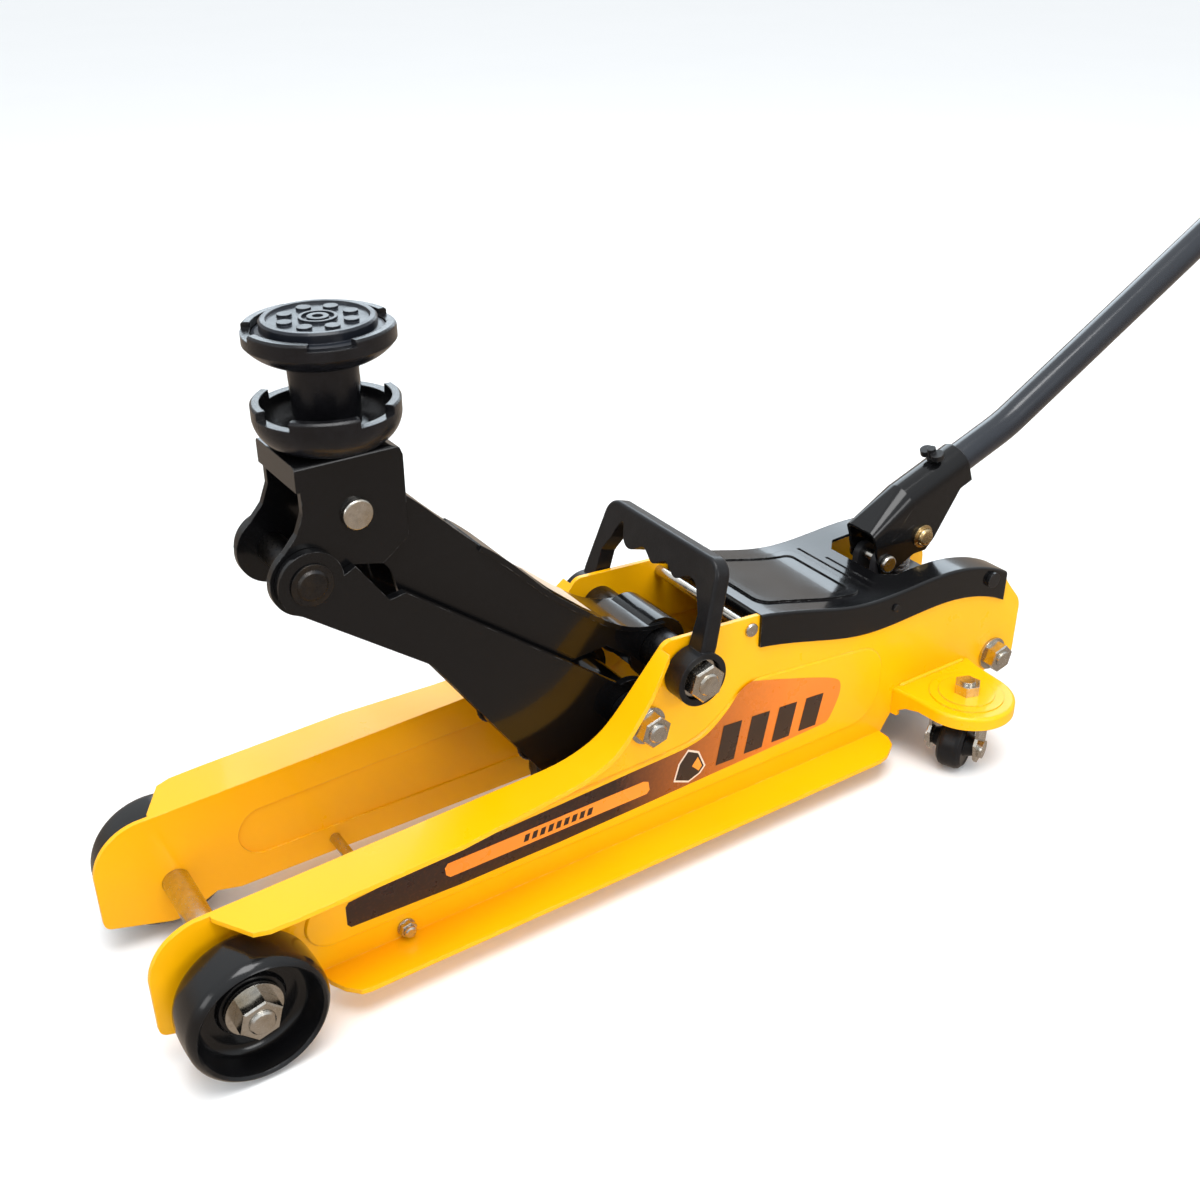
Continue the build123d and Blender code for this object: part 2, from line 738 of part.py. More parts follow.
def lower_saddle():
    top = cup_floor + 21.5
    with BuildPart() as cup:
        with BuildSketch(turned_about_z(0, saddle_station)):
            with BuildLine():
                Line((10 + running, cup_floor), (25, cup_floor))
                ThreePointArc((25, cup_floor), (32.8, cup_floor + 5.5), (cup_radius, cup_floor + 14))
                Line((cup_radius, cup_floor + 14), (cup_radius, top - 1))
                Line((cup_radius, top - 1), (cup_radius - 1, top))
                Line((cup_radius - 1, top), (cup_radius - 4.5, top))
                Line((cup_radius - 4.5, top), (cup_radius - 5, cup_floor + 13))
                ThreePointArc(
                    (cup_radius - 5, cup_floor + 13),
                    (27.5, cup_floor + 7),
                    (21, cup_floor + 5),
                )
                Line((21, cup_floor + 5), (10 + running, cup_floor + 5))
                Line((10 + running, cup_floor + 5), (10 + running, cup_floor))
            make_face()
        revolve(axis=upright_axis(0, saddle_station))
        with BuildSketch(Plane.XY.offset(top - 4.5)):
            add(rim_gaps(20))
        extrude(amount=6, mode=Mode.SUBTRACT)
        with BuildSketch(Plane.XY.offset(saddle_top - 11)):
            with Locations((0, axle_y + saddle_station)):
                Circle(14)
        extrude(amount=11 + gap + 0.5)
        with BuildSketch(Plane.XY.offset(saddle_top - 12)):
            with Locations((0, axle_y + saddle_station)):
                Circle(10 + running)
        extrude(amount=18, mode=Mode.SUBTRACT)
    return cup.part


def saddle_adaptor():
    stub = 12.0
    rim = 357.0
    with BuildPart() as adaptor:
        with BuildSketch(turned_about_z(0, saddle_station)):
            with BuildLine():
                Line((0, adaptor_seat - stub), (9, adaptor_seat - stub))
                Line((9, adaptor_seat - stub), (10, adaptor_seat - stub + 1.5))
                Line((10, adaptor_seat - stub + 1.5), (10, adaptor_seat + 0.1))
                Line((10, adaptor_seat + 0.1), (19.5, adaptor_seat + 0.1))
                Line((19.5, adaptor_seat + 0.1), (19.5, adaptor_seat + 3))
                Line((19.5, adaptor_seat + 3), (16.2, adaptor_seat + 4))
                Line((16.2, adaptor_seat + 4), (17.2, adaptor_cup - 1))
                ThreePointArc((17.2, adaptor_cup - 1), (30.5, adaptor_cup + 3.5), (36.2, rim - 8))
                Line((36.2, rim - 8), (36.2, rim - 1))
                Line((36.2, rim - 1), (35.2, rim))
                Line((35.2, rim), (31.8, rim))
                Line((31.8, rim), (31.5, 350))
                Line((31.5, 350), (0, 350))
                Line((0, 350), (0, adaptor_seat - stub))
            make_face()
        revolve(axis=upright_axis(0, saddle_station))
        with BuildSketch(Plane.XY.offset(rim - 3)):
            add(rim_gaps(76))
        extrude(amount=6, mode=Mode.SUBTRACT)
    return adaptor.part


def rubber_pad():
    """Round pad with a raised border, a ring of dimples and a centre boss."""
    floor = 350.0
    with BuildPart() as pad:
        with BuildSketch(turned_about_z(0, saddle_station)):
            with BuildLine():
                Polyline(
                    (0, floor),
                    (31.2, floor),
                    (31.2, floor + 3.4),
                    (29.5, floor + 4.4),
                    (pad_radius, floor + 4.8),
                    (pad_radius, pad_top - 1),
                    (pad_radius - 1, pad_top),
                    (24.2, pad_top),
                    (23.6, pad_top - 1.3),
                    (0, pad_top - 1.3),
                    close=True,
                )
            make_face()
        revolve(axis=upright_axis(0, saddle_station))
        with BuildSketch(Plane.XY.offset(pad_top - 1.4)):
            with Locations((0, axle_y + saddle_station)):
                with PolarLocations(16.6, 8):
                    Circle(3.6)
                Circle(9.2)
                Circle(7.6, mode=Mode.SUBTRACT)
                Circle(5.2)
                Circle(2.6, mode=Mode.SUBTRACT)
        extrude(amount=1.4)
    return pad.part


save(lower_saddle(), "lower_saddle")
save(saddle_adaptor(), "saddle_adaptor")
save(rubber_pad(), "rubber_pad")

# ---------------------------------------------------------------- carry handle
carry_lean = 17.0


def carry_handle():
    """Moulded bail with a boss on each end of the upper pivot shaft."""
    leg_outer = boss_outer - 1.2
    leg_inner = web_outer + 1.4
    top_outer = 55.0
    grip_half = 43.5
    shoulder = 36.0
    rise = 70.0
    depth = 23.0
    hollow = 5.5
    thickness = 11.0
    lean = radians(carry_lean)
    bail = Plane(
        origin=(0, axle_y + upper_pivot[0], upper_pivot[1]),
        x_dir=(1, 0, 0),
        z_dir=(0, -cos(lean), sin(lean)),
    )
    with BuildPart() as handle:
        with BuildSketch(bail):
            with BuildLine():
                FilletPolyline(
                    (-leg_outer, 0),
                    (-leg_outer, 20),
                    (-top_outer, rise),
                    (top_outer, rise),
                    (leg_outer, 20),
                    (leg_outer, 0),
                    radius=12,
                )
                Line((leg_outer, 0), (leg_inner, 0))
                Line((leg_inner, 0), (leg_inner, shoulder))
                Line((leg_inner, shoulder), (grip_half, rise - depth))
                pitch = grip_half / 4
                wave = [
                    ((4 - step) * pitch, rise - depth + hollow * (step % 2))
                    for step in range(9)
                ]
                Spline(*wave, tangents=[(-0.4, 1), (-0.4, -1)])
                Line((-grip_half, rise - depth), (-leg_inner, shoulder))
                Line((-leg_inner, shoulder), (-leg_inner, 0))
                Line((-leg_inner, 0), (-leg_outer, 0))
            make_face()
        extrude(amount=thickness / 2, both=True)
        outer_edges = handle.edges().filter_by(lambda edge: edge.center().Z > upper_pivot[1] + 9)
        broad = outer_edges.filter_by(lambda edge: edge.length > 14)
        fillet(broad.filter_by(GeomType.LINE).filter_by(Axis.X), 2.2)
        for side in (1, -1):
            with BuildSketch(side_view(side * boss_inner)):
                with Locations(at(*upper_pivot)):
                    Circle(17)
            extrude(amount=side * carry_boss)
        with BuildSketch(side_view(0)):
            with Locations(at(*upper_pivot)):
                Circle(8.0 + running)
        extrude(amount=boss_outer + 1, both=True, mode=Mode.SUBTRACT)
        for side in (1, -1):
            with BuildSketch(side_view(side * boss_outer)):
                with Locations(at(*upper_pivot)):
                    Circle(13.2)
            extrude(amount=-side * boss_recess, mode=Mode.SUBTRACT)
    return handle.part


save(carry_handle(), "carry_handle")

# -------------------------------------------------------------------- castors
ear_top = 51.5
ear_round = 32.2
trail = radians(castor_angle)
castor_side = Plane(
    origin=(castor_x, axle_y + castor_station, 0),
    x_dir=(cos(trail), sin(trail), 0),
    z_dir=(sin(trail), -cos(trail), 0),
)
castor_plan = Plane(
    origin=(castor_x, axle_y + castor_station, 0),
    x_dir=(cos(trail), sin(trail), 0),
    z_dir=(0, 0, 1),
)
castor_axle_line = Axis(
    origin=(
        castor_x + castor_trail * cos(trail),
        axle_y + castor_station + castor_trail * sin(trail),
        castor_radius,
    ),
    direction=(sin(trail), -cos(trail), 0),
)


def ear_plan(inset):
    """Plan of a castor ear, drawn in by inset from its outer edge."""
    front = axle_y + castor_station - ear_round + inset
    rear = axle_y + castor_station + ear_round - inset
    with BuildSketch() as shape:
        with BuildLine():
            Polyline(
                (web_outer, front - 4),
                (web_outer + 12, front - 1.5),
                (castor_x, front),
                (castor_x, rear),
                (web_outer + 12, rear + 1.5),
                (web_outer, rear + 4),
                close=True,
            )
        make_face()
        with Locations((castor_x, axle_y + castor_station)):
            Circle(ear_round - inset)
    return shape.sketch


def castor_ear():
    """Pressed ear on the side plate, with a turned-down rim and a stepped boss on top."""
    sheet = 2.6
    skirt = 9.0
    root_skirt = 20.0

    with BuildPart() as ear:
        with BuildSketch(Plane.XY.offset(ear_top)):
            add(ear_plan(0))
        extrude(amount=-root_skirt)
        rim = ear.faces().filter_by(Axis.Z).sort_by(Axis.Z)[-1].edges()
        fillet(rim.filter_by_position(Axis.X, web_outer + 1, 200), 2.4)
        with BuildSketch(Plane.XY.offset(ear_top - sheet)):
            add(ear_plan(sheet))
        extrude(amount=-root_skirt, mode=Mode.SUBTRACT)
        with BuildSketch(Plane.XZ):
            with BuildLine():
                Polyline(
                    (web_outer + 5, ear_top - root_skirt - 5),
                    (web_outer + 5, ear_top - root_skirt + 4),
                    (web_outer + 11, ear_top - root_skirt + 8),
                    (web_outer + 22, ear_top - skirt),
                    (castor_x + 40, ear_top - skirt),
                    (castor_x + 40, ear_top - root_skirt - 5),
                    close=True,
                )
            make_face()
        extrude(amount=90, both=True, mode=Mode.SUBTRACT)
        for radius, step in ((24.5, 0.8), (18.5, 1.6)):
            with BuildSketch(Plane.XY.offset(ear_top - 1)):
                with Locations((castor_x, axle_y + castor_station)):
                    Circle(radius)
            extrude(amount=1 + step)
        with BuildSketch(Plane.XY.offset(ear_top - 6)):
            with Locations((castor_x, axle_y + castor_station)):
                Circle(5)
        extrude(amount=12, mode=Mode.SUBTRACT)
    return ear.part


fork_top = ear_top - 2.6 - 4.5
fork_half = 17.0


def castor_fork():
    """Folded fork under the ear, trailing behind the kingpin."""
    sheet = 2.2
    half = fork_half
    with BuildPart() as fork:
        with BuildSketch(castor_plan.offset(fork_top)):
            Circle(15)
            with Locations((castor_trail - 0.5, 0)):
                Rectangle(21, 2 * half)
            Circle(5 + running, mode=Mode.SUBTRACT)
        extrude(amount=-sheet)
        for side in (1, -1):
            with BuildSketch(castor_side.offset(side * (half - sheet))):
                with BuildLine():
                    Polyline(
                        (castor_trail - 11, fork_top - sheet),
                        (castor_trail + 10, fork_top - sheet),
                        (castor_trail + 9, castor_radius + 12),
                        (castor_trail + 12, castor_radius + 8),
                        (castor_trail + 8, castor_radius - 5),
                        (castor_trail + 4, castor_radius - 9),
                        (castor_trail - 5, castor_radius - 9),
                        (castor_trail - 11, castor_radius - 3),
                        close=True,
                    )
                make_face()
                with Locations((castor_trail, castor_radius)):
                    Circle(3.5, mode=Mode.SUBTRACT)
            extrude(amount=side * sheet)
    return fork.part


def castor_axle():
    half = fork_half
    with BuildPart() as axle:
        with BuildSketch(castor_side):
            with Locations((castor_trail, castor_radius)):
                Circle(3.5)
        extrude(amount=half + 2.2, both=True)
        for side in (1, -1):
            with BuildSketch(castor_side.offset(side * half)):
                with Locations((castor_trail, castor_radius)):
                    Circle(6.2)
            extrude(amount=side * 2.6)
    return axle.part


def castor_wheel():
    half = 9.0
    hub_half = fork_half - 2.2 - 0.5
    tread = castor_radius
    section = Plane(
        origin=tuple(castor_axle_line.position),
        x_dir=tuple(castor_axle_line.direction),
        z_dir=(cos(trail), sin(trail), 0),
    )
    with BuildPart() as wheel:
        with BuildSketch(section):
            with BuildLine():
                Polyline(
                    (-hub_half, 3.5 + running),
                    (-hub_half, 6),
                    (-half + 1.2, 8.5),
                    (-half + 1.2, tread - 4.5),
                    (-half + 0.5, tread - 3),
                    (-half + 2.6, tread - 0.6),
                    (-half + 5, tread),
                    (half - 5, tread),
                    (half - 2.6, tread - 0.6),
                    (half - 0.5, tread - 3),
                    (half - 1.2, tread - 4.5),
                    (half - 1.2, 8.5),
                    (hub_half, 6),
                    (hub_half, 3.5 + running),
                    close=True,
                )
            make_face()
        revolve(axis=castor_axle_line)
    return wheel.part


def on_both_sides(piece, name):
    save(piece, f"{name}_left")
    with BuildPart() as other:
        mirror(piece, about=Plane.YZ)
    save(other.part, f"{name}_right")


on_both_sides(castor_ear(), "castor_ear")
on_both_sides(castor_fork(), "castor_fork")
on_both_sides(castor_axle(), "castor_axle")
on_both_sides(castor_wheel(), "castor_wheel")
with BuildPart() as kingpins:
    for side in (1, -1):
        centre = (side * castor_x, axle_y + castor_station)
        with BuildSketch(Plane.XY.offset(fork_top - 2.2 - 3.4)):
            with Locations(centre):
                Circle(7.5)
        extrude(amount=3.2)
        with BuildSketch(Plane.XY.offset(fork_top - 2.8)):
            with Locations(centre):
                Circle(5)
        extrude(amount=ear_top + 10.5 - fork_top + 2.8)
        with BuildSketch(Plane.XY.offset(ear_top + 1.6)):
            with Locations(centre):
                RegularPolygon(7.8, 6, major_radius=False, rotation=10)
        extrude(amount=7)
save(kingpins.part, "castor_kingpins")
with BuildPart() as races:
    for side in (1, -1):
        with BuildSketch(Plane.XY.offset(fork_top + 0.2)):
            with Locations((side * castor_x, axle_y + castor_station)):
                Circle(14)
                Circle(5, mode=Mode.SUBTRACT)
        extrude(amount=4.3)
save(races.part, "castor_races")

# ------------------------------------------------------------- hydraulic unit
cylinder_height = 52.0
block_front = 452.0
block_rear = 548.0
block_half = 37.0
block_top = 100.0
rod_radius = 12.0
piston_radius = 17.0
plunger_station = 506.0
valve_station = 465.0
ear_half_gap = 5.5


def lengthwise(station):
    """An upright cross-section of the jack: own axes +X and +Z, facing +Y."""
    return Plane(origin=(0, axle_y + station, 0), x_dir=(-1, 0, 0), z_dir=(0, 1, 0))


def pump_block():
    with BuildPart() as block:
        with BuildSketch(side_view(0)):
            with BuildLine():
                Polyline(
                    at(block_front, 26),
                    at(block_rear, 26),
                    at(block_rear, 92),
                    at(block_rear - 10, block_top),
                    at(block_front + 8, block_top),
                    at(block_front, 90),
                    close=True,
                )
            make_face()
        extrude(amount=block_half, both=True)
        chamfer(block.edges().filter_by(Axis.Z), 5)
        for side in (1, -1):
            with BuildSketch(side_view(side * ear_half_gap)):
                with BuildLine():
                    Polyline(
                        at(socket_pivot[0] - 11, block_top - 2),
                        at(socket_pivot[0] - 7.5, socket_pivot[1]),
                        at(socket_pivot[0] + 7.5, socket_pivot[1]),
                        at(socket_pivot[0] + 10, block_top - 2),
                        close=True,
                    )
                make_face()
                with Locations(at(*socket_pivot)):
                    Circle(7.5)
            extrude(amount=side * 5.2)
        with BuildSketch(side_view(0)):
            with Locations(at(*socket_pivot)):
                Circle(4)
        extrude(amount=20, both=True, mode=Mode.SUBTRACT)
        with BuildSketch(Plane.XY.offset(62)):
            with Locations((0, axle_y + plunger_station)):
                Circle(6 + running)
        extrude(amount=60, mode=Mode.SUBTRACT)
        with BuildSketch(Plane.XY.offset(86)):
            with Locations((24, axle_y + 500), (-24, axle_y + 500)):
                Circle(5)
            with Locations((0, axle_y + valve_station)):
                Circle(5 + running)
        extrude(amount=40, mode=Mode.SUBTRACT)
    return block.part


save(pump_block(), "pump_block")


def lengthwise_tube(start, end, radius, bore):
    with BuildPart() as tube:
        with BuildSketch(lengthwise(start)):
            with Locations((0, cylinder_height)):
                Circle(radius)
                if bore:
                    Circle(bore, mode=Mode.SUBTRACT)
        extrude(amount=end - start)
    return tube.part


cap_front = 322.0
save(lengthwise_tube(cap_front + 12, block_front, 29, 26), "reservoir_tube")
save(lengthwise_tube(cap_front + 12, block_front, 21, piston_radius + running), "ram_cylinder")
save(lengthwise_tube(cap_front, cap_front + 12, 29, rod_radius + running), "cylinder_head")

ram_block = (262.0, 270.0)
with BuildPart() as ram:
    with BuildSketch(lengthwise(ram_block[1])):
        with Locations((0, cylinder_height)):
            Circle(rod_radius)
    extrude(amount=132)
    with BuildSketch(lengthwise(ram_block[1] + 124)):
        with Locations((0, cylinder_height)):
            Circle(piston_radius)
    extrude(amount=8)
save(ram.part, "ram_rod")


def crosshead():
    """Slotted yoke on the ram's end, with a bar that holds the return springs."""
    slot = 7.0 + 2.8
    with BuildPart() as head:
        for side in (1, -1):
            with BuildSketch(side_view(side * 14)):
                with BuildLine():
                    Polyline(
                        at(crank_pin[0] - 18, 24),
                        at(ram_block[0] + 1, 24),
                        at(ram_block[0] + 1, 72),
                        at(crank_pin[0] - 18, 72),
                        close=True,
                    )
                make_face()
                with Locations(at(crank_pin[0], 42.5)):
                    SlotCenterToCenter(17, 2 * slot, rotation=90, mode=Mode.SUBTRACT)
            extrude(amount=side * 8)
        with BuildSketch(lengthwise(ram_block[0])):
            with Locations((0, 48)):
                Rectangle(44, 48)
            with Locations((0, cylinder_height)):
                Rectangle(84, 12)
        extrude(amount=ram_block[1] - ram_block[0])
    return head.part


save(crosshead(), "crosshead")
spring_x = 36.0
with BuildPart() as springs:
    with BuildSketch(lengthwise(ram_block[1] + gap)):
        with Locations((spring_x, cylinder_height), (-spring_x, cylinder_height)):
            Circle(5.4)
            Circle(3.8, mode=Mode.SUBTRACT)
    extrude(amount=block_front - ram_block[1] - 2 * gap)
save(springs.part, "return_springs")

with BuildPart() as plunger:
    with BuildSketch(Plane.XY.offset(66)):
        with Locations((0, axle_y + plunger_station)):
            Circle(6)
    extrude(amount=60)
    with BuildSketch(Plane.XY.offset(125.6)):
        with Locations((0, axle_y + plunger_station)):
            Circle(10)
    extrude(amount=4.1)
save(plunger.part, "pump_plunger")
with BuildPart() as plunger_spring:
    with BuildSketch(Plane.XY.offset(block_top + 0.2)):
        with Locations((0, axle_y + plunger_station)):
            Circle(9)
            Circle(7, mode=Mode.SUBTRACT)
    extrude(amount=25)
save(plunger_spring.part, "plunger_spring")

with BuildPart() as plugs:
    for x, station in ((24, 500), (-24, 500)):
        with BuildSketch(Plane.XY.offset(87)):
            with Locations((x, axle_y + station)):
                Circle(5)
        extrude(amount=14)
        with BuildSketch(Plane.XY.offset(block_top)):
            with Locations((x, axle_y + station)):
                RegularPolygon(7, 6, major_radius=False)
        extrude(amount=4)
save(plugs.part, "block_plugs")

with BuildPart() as valve:
    with BuildSketch(Plane.XY.offset(block_top - 6)):
        with Locations((0, axle_y + valve_station)):
            Circle(5)
    extrude(amount=12)
    with BuildSketch(Plane.XY.offset(block_top + 0.2)):
        with Locations((0, axle_y + valve_station)):
            RegularPolygon(7, 6, major_radius=False)
    extrude(amount=7)
save(valve.part, "release_valve")

save(cross_rod(*rear_bolt, 6, web_outer + 12.5), "rear_tie_bolt")
with BuildPart() as chassis_nuts:
    add(cross_nuts(*lift_pivot, 18, 12, 6.0, web_outer, 9, washer=2))
    add(cross_nuts(*rear_bolt, 18, 12, 6.0, web_outer, 9, washer=2))
save(chassis_nuts.part, "chassis_nuts")

# --------------------------------------------------------------- lever socket
socket_half = 13.5
socket_sheet = 2.2
roof_drop = 11.0               # fall of the socket's roof at its lower end
roof_round = -8.0              # reach at which the roof turns fully round
lever_plane = Plane(
    origin=(0, axle_y + socket_start[0], socket_start[1]),
    x_dir=(1, 0, 0),
    z_dir=(0, lower_dir[0], lower_dir[1]),
)


def on_lever(reach, rise):
    """Side-view point reach along the lower lever axis and rise above it."""
    station = socket_start[0] + reach * lower_dir[0] - rise * lower_dir[1]
    height = socket_start[1] + reach * lower_dir[1] + rise * lower_dir[0]
    return at(station, height)


screw_plane = Plane(
    origin=(0, *on_lever(26, lever_radius)),
    x_dir=(1, 0, 0),
    z_dir=(0, -lower_dir[1], lower_dir[0]),
)


def handle_socket():
    """Folded steel socket: a roof, square below and round above, over two cheeks."""
    with BuildPart() as socket:
        for inset, mode in ((0, Mode.ADD), (socket_sheet, Mode.SUBTRACT)):
            outer = socket_half - inset
            with BuildSketch(lever_plane.offset(-46)):
                with Locations((0, roof_drop)):
                    RectangleRounded(2 * outer, 2 * outer, 5 - inset)
            with BuildSketch(lever_plane.offset(roof_round)):
                RectangleRounded(2 * outer, 2 * outer, outer - 0.1)
            loft(mode=mode)
            with BuildSketch(lever_plane.offset(roof_round)):
                RectangleRounded(2 * outer, 2 * outer, outer - 0.1)
            extrude(amount=46 - roof_round, mode=mode)
            with BuildSketch(lever_plane.offset(-46)):
                with Locations((0, roof_drop + 35)):
                    Rectangle(2 * outer, 70)
            extrude(amount=46 + roof_round, mode=mode)
            with BuildSketch(lever_plane.offset(roof_round)):
                with Locations((0, 35)):
                    Rectangle(2 * outer, 70)
            extrude(amount=46 - roof_round, mode=mode)
        with BuildSketch(side_view(0)):
            with BuildLine():
                Polyline(
                    on_lever(-45, 20),
                    on_lever(-45, -10),
                    at(socket_pivot[0] - 9.5, socket_pivot[1]),
                    at(socket_pivot[0] - 5.5, socket_pivot[1] - 8),
                    at(socket_pivot[0] + 3, socket_pivot[1] - 9.5),
                    at(roller_axle[0] - 6, roller_axle[1] - 12),
                    at(roller_axle[0] + 5, roller_axle[1] - 12),
                    at(roller_axle[0] + 12, roller_axle[1] - 5),
                    on_lever(26, -17),
                    on_lever(34, -11),
                    on_lever(45, -11),
                    on_lever(45, 20),
                    close=True,
                )
            make_face()
        extrude(amount=20, both=True, mode=Mode.INTERSECT)
        with BuildSketch(side_view(0)):
            with Locations(at(*socket_pivot)):
                Circle(4 + running)
            with Locations(at(*roller_axle)):
                Circle(4)
        extrude(amount=20, both=True, mode=Mode.SUBTRACT)
        with BuildSketch(screw_plane):
            Circle(3)
        extrude(amount=10, mode=Mode.SUBTRACT)
    return socket.part


save(handle_socket(), "handle_socket")

with BuildPart() as pivot_pin:
    with BuildSketch(side_view(0)):
        with Locations(at(*socket_pivot)):
            Circle(4)
    extrude(amount=socket_half + 2.5, both=True)
    for side in (1, -1):
        with BuildSketch(side_view(side * (socket_half + gap))):
            with Locations(at(*socket_pivot)):
                Circle(6.2)
        extrude(amount=side * 3.2)
    heads = pivot_pin.faces().filter_by(Axis.X).sort_by(Axis.X)
    fillet(heads[0].edges() + heads[-1].edges(), 1.6)
save(pivot_pin.part, "socket_pivot_pin")
with BuildPart() as roller_pin:
    with BuildSketch(side_view(0)):
        with Locations(at(*roller_axle)):
            Circle(4)
    extrude(amount=socket_half + 4, both=True)
    for side in (1, -1):
        with BuildSketch(side_view(side * socket_half)):
            with Locations(at(*roller_axle)):
                Circle(8.2)
        extrude(amount=side * 1.4)
        with BuildSketch(side_view(side * (socket_half + 1.4))):
            with Locations(at(*roller_axle)):
                Circle(6.4)
        extrude(amount=side * 3.6)
    heads = roller_pin.faces().filter_by(Axis.X).sort_by(Axis.X)
    fillet(heads[0].edges() + heads[-1].edges(), 2.2)
save(roller_pin.part, "roller_bolt")
with BuildPart() as roller:
    with BuildSketch(side_view(0)):
        with Locations(at(*roller_axle)):
            Circle(8)
            Circle(4 + running, mode=Mode.SUBTRACT)
    extrude(amount=8.5, both=True)
save(roller.part, "cam_roller")

# ------------------------------------------------------------------ lever
stop_reach = -6.0
lever_wall = 1.8
joint_reach = 250.0            # along the upper axis, where the two lever pieces meet
grip_length = 112.0

with BuildPart() as key:
    with BuildSketch(lever_plane.offset(stop_reach)):
        Circle(socket_half - socket_sheet - gap)
    extrude(amount=3)
    with BuildSketch(lever_plane.offset(stop_reach)):
        Rectangle(2.2, 15)
    extrude(amount=12)
save(key.part, "valve_key")


def upper_lever_plane(reach):
    return Plane(
        origin=(
            0,
            axle_y + bend_point[0] + reach * upper_dir[0],
            bend_point[1] + reach * upper_dir[1],
        ),
        x_dir=(1, 0, 0),
        z_dir=(0, upper_dir[0], upper_dir[1]),
    )


def lever_point(reach):
    origin = upper_lever_plane(reach).origin
    return (origin.X, origin.Y, origin.Z)


def lever_lower():
    """Bent lower tube of the lever, from the socket to the joint."""
    start = lever_plane.offset(stop_reach + 3 + gap).origin
    with BuildPart() as tube:
        with BuildLine():
            FilletPolyline(
                (start.X, start.Y, start.Z),
                lever_point(0),
                lever_point(joint_reach + 60),
                radius=120,
            )
        with BuildSketch(lever_plane.offset(stop_reach + 3 + gap)):
            Circle(lever_radius - 0.2)
            Circle(lever_radius - 0.2 - lever_wall, mode=Mode.SUBTRACT)
        sweep()
    return tube.part


save(lever_lower(), "lever_lower")
with BuildPart() as lever_tube:
    with BuildSketch(upper_lever_plane(joint_reach)):
        Circle(lever_radius + 2)
        Circle(lever_radius - 0.2 + running, mode=Mode.SUBTRACT)
    extrude(amount=lever_upper_length - joint_reach - 5)
save(lever_tube.part, "lever_upper")
with BuildPart() as grip:
    with BuildSketch(upper_lever_plane(lever_upper_length - grip_length)):
        Circle(grip_radius)
        Circle(lever_radius + 2 + running, mode=Mode.SUBTRACT)
    extrude(amount=grip_length - 4)
    with BuildSketch(upper_lever_plane(lever_upper_length - 4)):
        Circle(grip_radius)
    extrude(amount=4)
    ends = grip.edges().filter_by(GeomType.CIRCLE).group_by(Axis.Y)[-1]
    fillet(ends, 2)
save(grip.part, "lever_grip")
with BuildPart() as thumb:
    with BuildSketch(screw_plane):
        Circle(3)
    extrude(amount=12)
    with BuildSketch(screw_plane.offset(socket_half - lever_radius + 0.6)):
        Circle(4.2)
    extrude(amount=2.4)
    with BuildSketch(screw_plane.offset(socket_half - lever_radius + 3)):
        with Locations((-5, 0), (5, 0)):
            Circle(4.4)
        Rectangle(10, 3)
    extrude(amount=4)
save(thumb.part, "thumb_screw")
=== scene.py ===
import json
import math

import bmesh
import bpy
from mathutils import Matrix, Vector


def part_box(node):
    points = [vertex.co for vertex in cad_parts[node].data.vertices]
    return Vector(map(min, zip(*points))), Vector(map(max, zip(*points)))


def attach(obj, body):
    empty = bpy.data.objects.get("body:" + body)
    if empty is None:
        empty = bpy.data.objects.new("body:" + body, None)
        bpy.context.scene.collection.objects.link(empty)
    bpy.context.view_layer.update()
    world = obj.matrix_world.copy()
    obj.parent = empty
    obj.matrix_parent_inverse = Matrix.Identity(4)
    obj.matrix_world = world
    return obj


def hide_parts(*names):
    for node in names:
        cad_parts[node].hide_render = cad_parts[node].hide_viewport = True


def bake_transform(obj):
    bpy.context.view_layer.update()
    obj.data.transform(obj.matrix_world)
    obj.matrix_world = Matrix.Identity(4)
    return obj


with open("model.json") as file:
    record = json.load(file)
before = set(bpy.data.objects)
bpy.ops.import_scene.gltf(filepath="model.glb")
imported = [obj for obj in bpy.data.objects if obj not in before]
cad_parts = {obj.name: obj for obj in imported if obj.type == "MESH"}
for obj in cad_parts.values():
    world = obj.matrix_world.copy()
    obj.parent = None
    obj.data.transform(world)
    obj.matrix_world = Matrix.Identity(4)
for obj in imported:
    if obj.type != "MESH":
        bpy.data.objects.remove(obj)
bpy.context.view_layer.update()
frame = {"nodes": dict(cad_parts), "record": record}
joints = {joint["name"]: joint for joint in frame["record"]["behaviour"]["joints"]}
MM = 0.001
SIDES = ((1, "left"), (-1, "right"))

# ------------------------------------------------------------------ places
# Stations are millimetres behind the front axle, and heights are millimetres above the floor.
web_thick = 3
panel_rise = 1.2


def middle(node):
    low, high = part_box(node)
    return (Vector(low) + Vector(high)) / 2


axle = middle("front_axle")
web_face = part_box("side_plate_left")[0][0] / MM + web_thick
panel_face = web_face + panel_rise


def spot(station, height, x=0.0):
    """A point given in millimetres: behind the front axle, above the floor, out from the middle."""
    return Vector((x * MM, axle.y + station * MM, height * MM))


# --------------------------------------------------------------- materials


